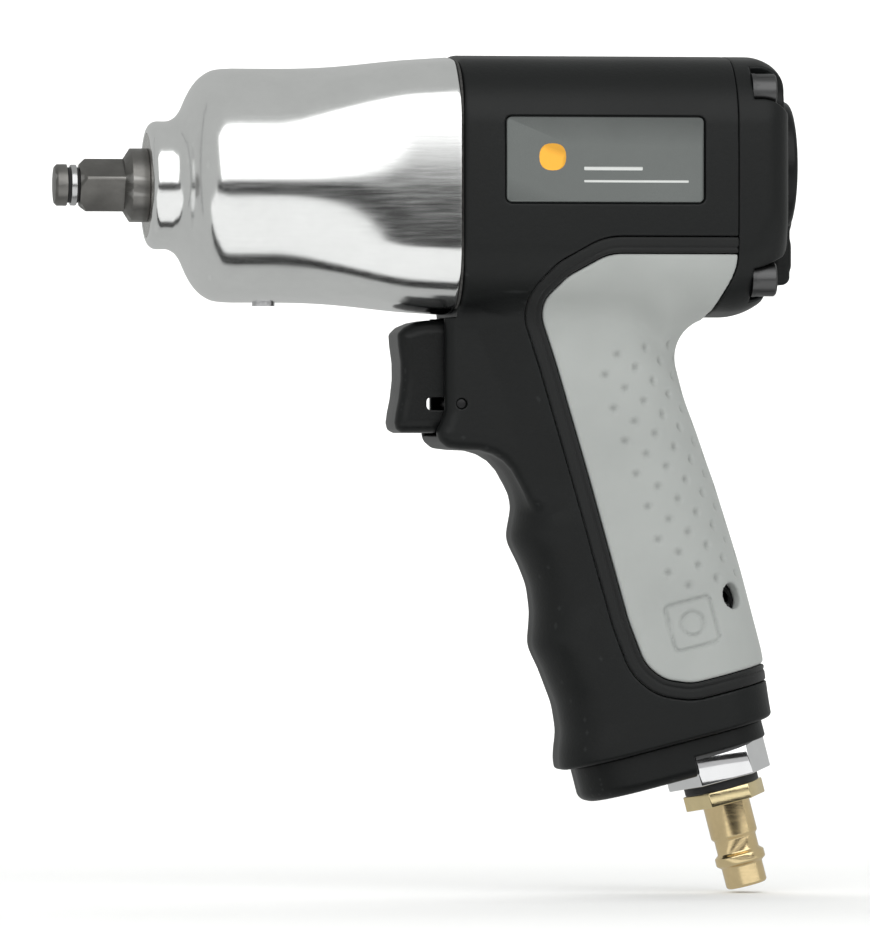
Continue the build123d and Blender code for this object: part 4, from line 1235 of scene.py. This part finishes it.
def pressed_fibre(name, colour, scale=700.0):
    """Pressed fibre or cloth laminate: matted threads with dark gaps."""
    material = bpy.data.materials.new(name)
    material.use_nodes = True
    nodes, links = material.node_tree.nodes, material.node_tree.links
    nodes.clear()
    frames = {}
    for label, x in (("Place", -1300), ("Threads", -1000), ("Surface", -250)):
        box = nodes.new("NodeFrame")
        box.label = label
        box.location = (x, 300)
        frames[label] = box
    place = nodes.new("ShaderNodeTexCoord")
    place.label = "Place on the sheet"
    threads = nodes.new("ShaderNodeTexNoise")
    threads.label = "Matted threads"
    threads.inputs["Scale"].default_value = scale
    threads.inputs["Detail"].default_value = 8.0
    threads.inputs["Distortion"].default_value = 1.6
    tone = nodes.new("ShaderNodeValToRGB")
    tone.label = "Threads and gaps"
    tone.color_ramp.elements[0].position = 0.35
    tone.color_ramp.elements[0].color = (*[c * 0.5 for c in colour], 1)
    tone.color_ramp.elements[1].position = 0.62
    tone.color_ramp.elements[1].color = (*[min(1.0, c * 1.2) for c in colour], 1)
    relief = nodes.new("ShaderNodeBump")
    relief.label = "Thread relief"
    relief.inputs["Strength"].default_value = 0.5
    relief.inputs["Distance"].default_value = 0.00015
    surface = nodes.new("ShaderNodeBsdfPrincipled")
    surface.label = "Fibre"
    surface.inputs["Roughness"].default_value = 0.86
    output = nodes.new("ShaderNodeOutputMaterial")
    output.label = "Out"
    output.location = (180, 100)
    links.new(place.outputs["Object"], threads.inputs["Vector"])
    links.new(threads.outputs["Fac"], tone.inputs["Fac"])
    links.new(tone.outputs["Color"], surface.inputs["Base Color"])
    links.new(threads.outputs["Fac"], relief.inputs["Height"])
    links.new(relief.outputs["Normal"], surface.inputs["Normal"])
    links.new(surface.outputs["BSDF"], output.inputs["Surface"])
    for node, spot, group in (
            (place, (-1300, 0), "Place"), (threads, (-1000, 100), "Threads"),
            (tone, (-750, 150), "Threads"), (relief, (-400, -200), "Surface"),
            (surface, (-150, 100), "Surface")):
        node.location = spot
        node.parent = frames[group]
    return material


def pale_floor(name, colour):
    """Plain pale studio paper."""
    material = bpy.data.materials.new(name)
    material.use_nodes = True
    nodes, links = material.node_tree.nodes, material.node_tree.links
    nodes.clear()
    place = nodes.new("ShaderNodeTexCoord")
    place.label = "Place on the paper"
    tooth = nodes.new("ShaderNodeTexNoise")
    tooth.label = "Paper tooth"
    tooth.inputs["Scale"].default_value = 300.0
    tone = nodes.new("ShaderNodeValToRGB")
    tone.label = "Almost even white"
    tone.color_ramp.elements[0].color = (*[c * 0.985 for c in colour], 1)
    tone.color_ramp.elements[1].color = (*colour, 1)
    surface = nodes.new("ShaderNodeBsdfPrincipled")
    surface.label = "Studio paper"
    surface.inputs["Roughness"].default_value = 0.95
    surface.inputs["Specular IOR Level"].default_value = 0.1
    output = nodes.new("ShaderNodeOutputMaterial")
    output.label = "Out"
    links.new(place.outputs["Object"], tooth.inputs["Vector"])
    links.new(tooth.outputs["Fac"], tone.inputs["Fac"])
    links.new(tone.outputs["Color"], surface.inputs["Base Color"])
    links.new(surface.outputs["BSDF"], output.inputs["Surface"])
    for node, spot in (
            (place, (-900, 0)), (tooth, (-650, 0)), (tone, (-400, 0)), (surface, (-100, 0)),
            (output, (220, 0))):
        node.location = spot
    return material


FINISH = {}


def make_finishes():
    """All finishes, by the record's material slot."""
    colours = bpy.context.scene.wrench_finishes
    black, grey = tuple(colours.black), tuple(colours.grey)
    FINISH["housing_black"] = moulded_plastic("moulded_black", black)
    FINISH["cap_black"] = moulded_plastic("cap_black", tuple(c * 0.92 for c in black))
    FINISH["trigger_black"] = moulded_plastic("trigger_black", tuple(c * 0.8 for c in black), 1200.0, 0.34)
    FINISH["reverse_black"] = moulded_plastic("valve_black", (0.05, 0.05, 0.05), 1500.0, 0.3)
    FINISH["plate_grey"] = moulded_plastic("plate_grey", tuple(colours.plate), 2600.0, 0.4)
    FINISH["grip_grey"] = soft_rubber("grip_grey", grey)
    FINISH["frame_black"] = soft_rubber("frame_black", tuple(c * 0.78 for c in black))
    FINISH["rubber_black"] = soft_rubber("seal_rubber", (0.016, 0.016, 0.017), 2400.0)
    FINISH["polished_alloy"] = worked_metal("polished_alloy", tuple(colours.alloy), (0.74, 0.745, 0.74),
                                            (0.13, 0.2), (60.0, 1500.0, 1500.0), 0.000008, patina=0.35,
                                            edge_wear=0.2)
    FINISH["plate_alloy"] = worked_metal("machined_alloy", (0.68, 0.68, 0.69), (0.5, 0.5, 0.51), (0.28, 0.42),
                                         edge_wear=0.0)
    FINISH["drive_steel"] = worked_metal("phosphated_steel", (0.20, 0.195, 0.185), (0.10, 0.098, 0.092),
                                         (0.3, 0.48),
                                         (300.0, 700.0, 700.0), 0.00003, edge_wear=0.9)
    FINISH["ground_steel"] = worked_metal("ground_steel", (0.60, 0.60, 0.61), (0.42, 0.42, 0.42),
                                          (0.18, 0.32),
                                          (1200.0, 60.0, 60.0), edge_wear=0.0)
    FINISH["bush_steel"] = worked_metal("bush_steel", (0.52, 0.51, 0.49), (0.3, 0.29, 0.28), (0.22, 0.36))
    FINISH["screw_black"] = worked_metal("black_screw_steel", (0.020, 0.020, 0.021), (0.010, 0.010,
                                                                                      0.0105), (0.3, 0.45),
                                         edge_wear=0.7)
    FINISH["chrome"] = worked_metal("chrome_plate", (0.88, 0.88, 0.89), (0.66, 0.66, 0.68), (0.05, 0.11),
                                    (300.0, 300.0, 300.0), 0.000012, patina=0.3, edge_wear=0.3)
    FINISH["brass"] = worked_metal("turned_brass", tuple(colours.brass),
                                   tuple(c * 0.62 for c in colours.brass),
                                   (0.12, 0.24), (80.0, 80.0, 2600.0), 0.00002, (0.0, -LEAN, 0.0), 0.45, 0.4)
    FINISH["gasket"] = pressed_fibre("gasket_fibre", (0.045, 0.044, 0.042))
    FINISH["flag_black"] = pressed_fibre("flag_black", (0.004, 0.004, 0.004))
    FINISH["felt"] = pressed_fibre("muffler_felt", (0.20, 0.19, 0.18), 1100.0)
    FINISH["vane"] = pressed_fibre("vane_laminate", (0.30, 0.16, 0.07), 1600.0)


# ---- pieces --------------------------------------------------------------------------

class WRENCH_OT_finishes(bpy.types.Operator):
    """Makes the finishes and gives them to the CAD nodes that stay"""
    bl_idname = "wrench.finishes"
    bl_label = "Finishes"

    def execute(self, context):
        make_finishes()
        for node, obj in frame["nodes"].items():
            obj.data.materials.clear()
            obj.data.materials.append(FINISH[SLOT[node]])
        return {"FINISHED"}


class WRENCH_OT_stage(bpy.types.Operator):
    """Makes the camera, the pale floor and the soft lights"""
    bl_idname = "wrench.stage"
    bl_label = "Stage"

    def execute(self, context):
        sizes = context.scene.wrench_stage
        floor_height = CAD_BOX[0][2]
        middle = Vector((0.0912, 0.0, -0.0687))
        turn = sizes.view_turn
        back = Vector((math.sin(turn), -math.cos(turn), 0.0))
        data = bpy.data.cameras.new("view")
        data.sensor_fit = "HORIZONTAL"
        data.sensor_width = 36.0
        data.lens = 36.0 * sizes.view_distance / sizes.view_width
        data.clip_end = 20.0
        camera = bpy.data.objects.new("view", data)
        context.collection.objects.link(camera)
        camera.location = middle + back * sizes.view_distance
        camera.rotation_euler = (-back).to_track_quat("-Z", "Y").to_euler()
        context.scene.camera = camera
        context.scene.view_settings.view_transform = "Standard"
        self.floor(floor_height - 0.0006)
        for name, place, aim, size, power in (
                ("tall_softbox", (0.05, -0.92, 0.60), (0.05, 0.0, 0.0), (2.6, 1.2), sizes.key_power),
                ("backdrop_light", (0.1, 2.7, 1.9), (0.1, 2.7, 0.0), (4.4, 3.6), sizes.backdrop_power)):
            lamp = self.softbox(name, place, aim, size, power)
            lamp.visible_glossy = name == "tall_softbox"
            lamp.visible_camera = False
        self.flag("far_flag", (-1.4, 1.6), (-0.84, floor_height), (-0.84, 0.055))
        self.flag("left_flag", (-0.80, -0.75), (0.3, -0.17), (0.6, 0.80))
        self.flag("near_flag", (-0.3, 0.4), (-0.066, -0.164), (-0.030, -0.164))
        glow = self.softbox("low_panel", (0.05, -0.30, -0.150), (0.05, -0.26, 0.0), (2.0, 0.44),
                            sizes.low_power)
        glow.visible_camera = glow.visible_diffuse = False
        world = bpy.data.worlds.new("studio")
        world.use_nodes = True
        world.node_tree.nodes["Background"].inputs["Color"].default_value = (0.985, 1.0, 0.985, 1)
        world.node_tree.nodes["Background"].inputs["Strength"].default_value = sizes.room
        context.scene.world = world
        return {"FINISHED"}

    def floor(self, height):
        """A pale sheet that lies under the wrench and sweeps up behind it."""
        bend, far = 0.6, 4.4
        rows = [(-5.0, 0.0), (-2.0, 0.0), (0.0, 0.0), (2.0, 0.0), (far - bend, 0.0)]
        rows += [(far - bend + bend * math.sin(a), bend - bend * math.cos(a))
                 for a in np.linspace(0.1, math.pi / 2, 14)]
        rows += [(far, 2.6)]
        points = [(x, y, height + z) for y, z in rows for x in (-4.8, 5.0)]
        faces = [(2 * i, 2 * i + 1, 2 * i + 3, 2 * i + 2) for i in range(len(rows) - 1)]
        sheet = mesh_object("studio_paper", np.array(points), faces)
        sheet.data.materials.append(pale_floor("studio_paper", (0.93, 0.93, 0.925)))
        sheet.visible_glossy = False

    def flag(self, name, across, lower, upper):
        """A black card that the polished metal reflects and no view shows."""
        points = [(x, y, z) for y, z in (lower, upper) for x in across]
        card = mesh_object(name, np.array(points), [(0, 1, 3, 2)])
        card.data.materials.append(FINISH["flag_black"])
        card.visible_camera = card.visible_shadow = card.visible_diffuse = False

    def softbox(self, name, place, aim, size, power):
        """A rectangular area light."""
        data = bpy.data.lights.new(name, "AREA")
        data.shape = "RECTANGLE"
        data.size, data.size_y = size
        data.energy = power
        lamp = bpy.data.objects.new(name, data)
        bpy.context.collection.objects.link(lamp)
        lamp.location = place
        lamp.rotation_euler = (Vector(aim) - Vector(place)).to_track_quat("-Z", "Y").to_euler()
        return lamp


class WRENCH_OT_hammer_case(bpy.types.Operator):
    """Makes the polished hammer case, which turns from a round nose into a rounded square"""
    bl_idname = "wrench.hammer_case"
    bl_label = "Hammer case"

    def execute(self, context):
        sizes = context.scene.wrench_case
        nose, drum = sizes.nose_radius / MM, sizes.drum_radius / MM
        outside = [(22.0, 12.42), (22.0, 12.9)]
        outside += [(24.4 - 2.4 * math.cos(a), nose - 2.6 + 2.6 * math.sin(a))
                    for a in np.linspace(0.12, math.pi / 2, 9)]
        outside += [(26.6, nose), (27.6, nose + 0.28), (28.7, nose + 0.95), (29.6, nose + 1.95), (30.5, 18.6),
                    (31.4, 20.6), (32.3, 22.4), (33.3, 24.0), (34.5, 25.4), (35.9, 26.5), (37.5, 27.3),
                    (39.4, drum - 0.15),
                    (42.0, drum)]
        rings = smoothed_rings(outside, 96) + [(x, drum) for x in np.arange(43.0, CASE_BACK - 0.6, 0.55)]
        rows = [(x, r, True) for x, r in rings]
        rows += [(CASE_BACK - 0.5, drum, True), (CASE_BACK - 0.15, drum - 0.12, True),
                 (CASE_BACK - 0.02, drum - 0.5, True)]
        rows += [(CASE_BACK - 0.02, 25.4, False), (CASE_BACK - 0.2, 25.0, False), (46.2, 25.0, False),
                 (46.0, 24.8, False), (46.0, 11.2, False), (45.8, 11.04, False), (25.2, 11.04, False),
                 (25.0, 12.3, False), (22.2, 12.34, False)]
        turns = np.linspace(0.0, 2 * math.pi, sizes.around, endpoint=False)
        points = []
        for x, radius, outer in rows:
            if outer:
                across_y, across_z = self.section(x, radius, turns, sizes)
            else:
                across_y, across_z = radius * np.cos(turns), radius * np.sin(turns)
            points.append(np.stack([np.full_like(turns, x), across_y, across_z], 1))
        points = np.concatenate(points) * MM
        faces = ring_faces(len(rows), sizes.around, True)
        case = mesh_object("hammer_case_shell", points, faces)
        sharpen(case, 35.0)
        finish_piece(case, "hammer_case", FINISH["polished_alloy"])
        return {"FINISHED"}

    def section(self, x, radius, turns, sizes):
        """The case's section at x: a circle up front, the barrel's rounded square at the flange."""
        part = float(np.clip((x - 50.0) / (CASE_BACK - 50.0), 0.0, 1.0))
        square = float(ease(50.0, 84.0, np.array(x)))
        half_y = radius + part * (HALF_Y - 0.45 - 27.8)
        half_z = radius + part * (HALF_Z - 0.45 - 27.8)
        c, s = np.cos(turns), np.sin(turns)
        reach = radius + 0.0 * turns
        for _ in range(12):
            boxy = crowned_box(reach * c, reach * s, half_y, half_z, sizes.corner / MM)
            off = (1.0 - square) * (reach - radius) + square * boxy
            reach = reach - 0.8 * off
        return reach * c, reach * s


def smoothed_rings(points, count):
    """Even steps along a smooth curve through the outline's points."""
    p = np.array(points, float)
    ends = np.concatenate([[2 * p[0] - p[1]], p, [2 * p[-1] - p[-2]]])
    fine = []
    for i in range(1, len(ends) - 2):
        t = (np.arange(8) / 8)[:, None]
        lead, trail = (ends[i + 1] - ends[i - 1]) / 2, (ends[i + 2] - ends[i]) / 2
        span = ends[i + 1] - ends[i]
        fine.append(ends[i] + t * lead + t ** 2 * (3 * span - 2 * lead - trail)
                    + t ** 3 * (lead + trail - 2 * span))
    fine = np.concatenate(fine + [p[-1:]])
    length = np.concatenate([[0.0], np.cumsum(np.linalg.norm(np.diff(fine, axis=0), axis=1))])
    even = np.linspace(0.0, length[-1], count)
    return [(float(x), float(r)) for x, r in zip(np.interp(even, length, fine[:, 0]),
                                                 np.interp(even, length, fine[:, 1]))]


def ring_faces(rows, around, closed):
    """Quads between neighbouring rings of points, the last ring joined to the first if closed."""
    faces = []
    for i in range(rows if closed else rows - 1):
        here, there = i * around, ((i + 1) % rows) * around
        step = np.arange(around)
        ahead = (step + 1) % around
        faces.append(np.stack([here + step, there + step, there + ahead, here + ahead], 1))
    return np.concatenate(faces)


def sharpen(obj, degrees):
    """Keeps edges steeper than this crisp and shades the rest smoothly."""
    obj.data.set_sharp_from_angle(angle=math.radians(degrees))


class WRENCH_OT_housing(bpy.types.Operator):
    """Makes the black motor housing with its grip core and trigger block"""
    bl_idname = "wrench.housing"
    bl_label = "Motor housing"

    def execute(self, context):
        obj = shell("motor_housing_shell", housing_field, (86, -31, -143), (180, 31, 33), 0.44, 0.42)
        shaded_by(obj, housing_field)
        finish_piece(obj, "motor_housing", FINISH["housing_black"])
        return {"FINISHED"}


class WRENCH_OT_grip(bpy.types.Operator):
    """Makes the soft grey grip, its dimples and the black frame round it"""
    bl_idname = "wrench.grip"
    bl_label = "Soft grip"

    def execute(self, context):
        sizes = context.scene.wrench_grip
        insert = shell("soft_grip", insert_field, (110, -31, -124), (182, 31, -12), 0.52)
        places = points_object("dimple_places", self.dimple_places(sizes) * MM, np.zeros((0, 3)))
        grown(insert, dimple_tree(), {"Places": places, "Radius": sizes.radius, "Depth": sizes.depth,
                                      "Material": FINISH["grip_grey"]})
        bpy.data.objects.remove(places)
        finish_piece(insert, "grip_insert", FINISH["grip_grey"])
        edge = shell("grip_frame_band", frame_field, (106, -31, -127), (182, 31, -8), 0.32)
        finish_piece(edge, "grip_frame", FINISH["frame_black"])
        return {"FINISHED"}

    def dimple_places(self, sizes):
        """Staggered rows of places on the grip's rounded back, found on its surface."""
        pitch_down, pitch_across = sizes.pitch_down / MM, sizes.pitch_across / MM
        half, corner = 18.5, 15.5
        flat, bend = half - corner, corner * math.pi / 2
        places = []
        for column in range(-sizes.columns, sizes.columns + 1):
            around, side = abs(column) * pitch_across, math.copysign(1.0, column)
            turn = np.clip((around - flat) / corner, 0.0, math.pi / 2)
            y = side * (min(around, flat) + corner * math.sin(turn))
            ahead = corner * (1 - math.cos(turn)) + max(0.0, around - flat - bend)
            first = 48.0 if column % 2 == 0 else 44.0
            for row in range(sizes.rows if column % 2 else sizes.rows - 1):
                down = first + pitch_down * row
                rear = float(np.interp(down, FINE_DOWN, GRIP_BACK)) - ahead
                x = GRIP_X + down * math.sin(LEAN) + rear * math.cos(LEAN)
                z = -down * math.cos(LEAN) + rear * math.sin(LEAN)
                places.append((x, y, z))
        places = np.array(places)
        for _ in range(4):
            grown_by = slope(body_field, places)
            places -= (body_field(*places.T) / np.maximum((grown_by ** 2).sum(1), 0.3))[:, None] * grown_by
        clear = insert_outline(places[:, 0], places[:, 2]) < -2.2
        return places[clear]


class WRENCH_OT_rear_cap(bpy.types.Operator):
    """Makes the rear cap"""
    bl_idname = "wrench.rear_cap"
    bl_label = "Rear cap"

    def execute(self, context):
        cap = shell("rear_cap_shell", cap_field, (150, -31, -33), (174, 31, 33), 0.36)
        finish_piece(cap, "rear_cap", FINISH["cap_black"])
        return {"FINISHED"}


class WRENCH_OT_trigger(bpy.types.Operator):
    """Makes the curved trigger"""
    bl_idname = "wrench.trigger"
    bl_label = "Trigger"

    def execute(self, context):
        obj = shell("trigger_lever", trigger_field, (79, -12, -60), (99, 12, -30), 0.26)
        finish_piece(obj, "trigger", FINISH["trigger_black"])
        return {"FINISHED"}


class WRENCH_OT_selector(bpy.types.Operator):
    """Makes the selector disc with its thumb tab"""
    bl_idname = "wrench.selector"
    bl_label = "Selector"

    def execute(self, context):
        obj = shell("selector_disc", selector_field, (166, -17, -25), (178, 17, 22), 0.25)
        finish_piece(obj, "selector_lever", FINISH["trigger_black"])
        refined("selector_screw", "selector_centre_screw", 0.00018)
        return {"FINISHED"}


class WRENCH_OT_exhaust(bpy.types.Operator):
    """Makes the exhaust deflector"""
    bl_idname = "wrench.exhaust"
    bl_label = "Exhaust deflector"

    def execute(self, context):
        obj = shell("exhaust_cover", deflector_field, (120, -17.5, -147), (172, 17.5, -124), 0.3)
        finish_piece(obj, "exhaust_deflector", FINISH["cap_black"])
        return {"FINISHED"}


class WRENCH_OT_screws(bpy.types.Operator):
    """Makes the four long cap screws and the two grip screws"""
    bl_idname = "wrench.screws"
    bl_label = "Screws"

    def execute(self, context):
        tree = screw_tree()
        offset = 0.0223
        seats = [(0.1644, y * offset, z * offset) for y in (-1, 1) for z in (-1, 1)]
        cap = points_object("long_cap_screws", seats, [(1.0, 0.0, 0.0)] * 4)
        grown(cap, tree, {"Head radius": 0.0041, "Head height": 0.0046, "Edge": 0.0004,
                          "Socket radius": 0.0023,
                          "Socket depth": 0.003, "Shank radius": 0.00245, "Shank length": 0.0804,
                          "Material": FINISH["screw_black"]})
        sharpen(cap, 30.0)
        finish_piece(cap, "cap_screws", FINISH["screw_black"])
        refined("cap_washers", "cap_screw_washers", 0.0)
        turn = math.cos(math.radians(45.0))
        seats, ways = [], []
        for side in (-1.0, 1.0):
            rear, y = 11.6 + 12.0 * turn, side * (3.1 + 12.0 * turn)
            seats.append((MM * (GRIP_X + 106.5 * math.sin(LEAN) + rear * math.cos(LEAN)), MM * y,
                          MM * (-106.5 * math.cos(LEAN) + rear * math.sin(LEAN))))
            ways.append((turn * math.cos(LEAN), side * turn, turn * math.sin(LEAN)))
        grip = points_object("grip_cover_screws", seats, ways)
        grown(grip, tree, {"Head radius": 0.0028, "Head height": 0.0013, "Edge": 0.0003,
                           "Socket radius": 0.0015,
                           "Socket depth": 0.0011, "Shank radius": 0.0015, "Shank length": 0.004,
                           "Material": FINISH["screw_black"]})
        sharpen(grip, 30.0)
        finish_piece(grip, "grip_screws", FINISH["screw_black"])
        return {"FINISHED"}


class WRENCH_OT_bearings(bpy.types.Operator):
    """Makes the balls of the two rotor bearings, and the throttle spring with a mesh of its own"""
    bl_idname = "wrench.bearings"
    bl_label = "Bearing balls and spring"

    def execute(self, context):
        tree = ball_tree()
        for name, balls, pitch in (("front", 8, 0.009), ("rear", 7, 0.008)):
            node = f"{name}_bearing_balls"
            middle = (low(node)[0] + high(node)[0]) / 2 * MM
            obj = points_object(f"{name}_ball_set", [], [])
            grown(obj, tree, {"Balls": balls, "Ball radius": 0.0019, "Pitch radius": pitch, "Middle": middle,
                              "Material": FINISH["ground_steel"]})
            finish_piece(obj, node, FINISH["ground_steel"])
        coil = refined("throttle_spring", "throttle_coil", 0.0)
        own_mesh(coil)
        return {"FINISHED"}


class WRENCH_OT_fittings(bpy.types.Operator):
    """Softens the edges of the turned and milled fittings"""
    bl_idname = "wrench.fittings"
    bl_label = "Fittings"

    def execute(self, context):
        for node, name, bevel in (("anvil", "square_drive_anvil", 0.00022),
                                  ("friction_ring", "socket_ring", 0.0002),
                                  ("drive_o_ring", "socket_o_ring", 0.00028),
                                  ("anvil_bushing", "nose_bush", 0.00015),
                                  ("inlet_bushing", "inlet_hexagon", 0.00035),
                                  ("inlet_seal", "inlet_washer", 0.0003),
                                  ("air_nipple", "air_plug_body", 0.0002),
                                  ("trigger_pin", "trigger_cross_pin", 0.0002)):
            refined(node, name, bevel)
        oil_screw = refined("oil_plug", "oil_screw", 0.00015)
        for vertex in oil_screw.data.vertices:
            if vertex.co.z < OIL_HEAD_TOP:
                vertex.co.z += OIL_HEAD_LIFT
        return {"FINISHED"}


class WRENCH_OT_name_plates(bpy.types.Operator):
    """Makes the plain name plates with a border, a mark and two rules"""
    bl_idname = "wrench.name_plates"
    bl_label = "Name plates"

    def execute(self, context):
        plates, marks, rules = [], [], []
        for side in (-1.0, 1.0):
            face = side * (HALF_Y - 0.38)
            plates.append(self.slab((LABEL_MIDDLE[0], face, LABEL_MIDDLE[1]), LABEL_HALF_X - 0.1,
                                    LABEL_HALF_Z - 0.1,
                                    1.3, -side * 0.6, 0.16))
            proud = face + side * 0.02
            start = LABEL_MIDDLE[0] - LABEL_HALF_X
            marks.append(self.slab((start + 11.0, proud, LABEL_MIDDLE[1] + 0.6), 3.2, 3.2, 3.1,
                                   -side * 0.1, 0.02))
            for x, z, long, thick in ((start + 25.5, 3.6, 7.0, 0.42), (start + 31.0, 0.6, 12.5, 0.28)):
                rules.append(self.slab((x, proud, z), long, thick, 0.2, -side * 0.1, 0.02))
        for name, parts, finish in (("plain_name_plates", plates, FINISH["plate_grey"]),
                                    ("amber_marks", marks, moulded_plastic("amber_ink", (0.62, 0.30, 0.03),
                                                                           3000.0)),
                                    ("pale_rules", rules, moulded_plastic("pale_ink", (0.42, 0.43, 0.42),
                                                                          3000.0))):
            work = bmesh.new()
            for part in parts:
                work.from_mesh(part)
            mesh = bpy.data.meshes.new(name)
            bmesh.ops.recalc_face_normals(work, faces=work.faces)
            work.to_mesh(mesh)
            work.free()
            obj = bpy.data.objects.new(name, mesh)
            context.collection.objects.link(obj)
            mesh.materials.append(finish)
            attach(obj, BODY["name_plates"])
            if parts is plates:
                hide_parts("name_plates")
        return {"FINISHED"}

    def slab(self, middle, half_x, half_z, corner, depth, edge):
        """A thin rounded plate in the side view, with a chamfered edge on its face."""
        corners = [(-half_x, -half_z), (half_x, -half_z), (half_x, half_z), (-half_x, half_z)]
        line = rounded_line(corners, [corner] * 4, 6)
        inner = rounded_line([(x * (1 - edge / half_x), z * (1 - edge / half_z)) for x, z in corners],
                             [max(corner - edge, 0.05)] * 4, 6)
        sign = -math.copysign(1.0, depth)
        rows = [(inner, 0.0), (line, -sign * edge), (line, depth)]
        points = [(middle[0] + x, middle[1] + y, middle[2] + z) for row, y in rows for x, z in row]
        count = len(line)
        faces = [list(range(count)), list(range(2 * count, 3 * count))]
        for ring in range(2):
            for i in range(count):
                ahead = (i + 1) % count
                faces.append([ring * count + i, ring * count + ahead, (ring + 1) * count + ahead,
                              (ring + 1) * count + i])
        mesh = bpy.data.meshes.new("slab")
        mesh.from_pydata([tuple(MM * c for c in p) for p in points], [], faces)
        return mesh


OPERATORS = (WRENCH_OT_finishes, WRENCH_OT_stage, WRENCH_OT_hammer_case, WRENCH_OT_housing, WRENCH_OT_grip,
             WRENCH_OT_rear_cap, WRENCH_OT_trigger, WRENCH_OT_selector, WRENCH_OT_exhaust, WRENCH_OT_screws,
             WRENCH_OT_bearings, WRENCH_OT_fittings, WRENCH_OT_name_plates)


class WRENCH_PT_panel(bpy.types.Panel):
    """Lists the wrench's pieces in the sidebar"""
    bl_idname = "WRENCH_PT_panel"
    bl_label = "Impact wrench"
    bl_space_type = "VIEW_3D"
    bl_region_type = "UI"
    bl_category = "Wrench"

    def draw(self, context):
        for operator in OPERATORS:
            self.layout.operator(operator.bl_idname, text=operator.bl_label)


GROUPS = (("wrench_housing", HousingSizes), ("wrench_grip", GripSizes), ("wrench_case", CaseSizes),
          ("wrench_finishes", Finishes), ("wrench_stage", StageSizes))


def register():
    """Registers the properties, the operators and the panel."""
    for name, group in GROUPS:
        bpy.utils.register_class(group)
        setattr(bpy.types.Scene, name, PointerProperty(type=group))
    for item in (*OPERATORS, WRENCH_PT_panel):
        bpy.utils.register_class(item)


def unregister():
    """Takes them away again."""
    for item in reversed((*OPERATORS, WRENCH_PT_panel)):
        bpy.utils.unregister_class(item)
    for name, group in reversed(GROUPS):
        delattr(bpy.types.Scene, name)
        bpy.utils.unregister_class(group)


def main():
    """Builds the whole wrench, in order."""
    register()
    for operator in OPERATORS:
        group, name = operator.bl_idname.split(".")
        getattr(getattr(bpy.ops, group), name)()


if __name__ == "__main__":
    main()
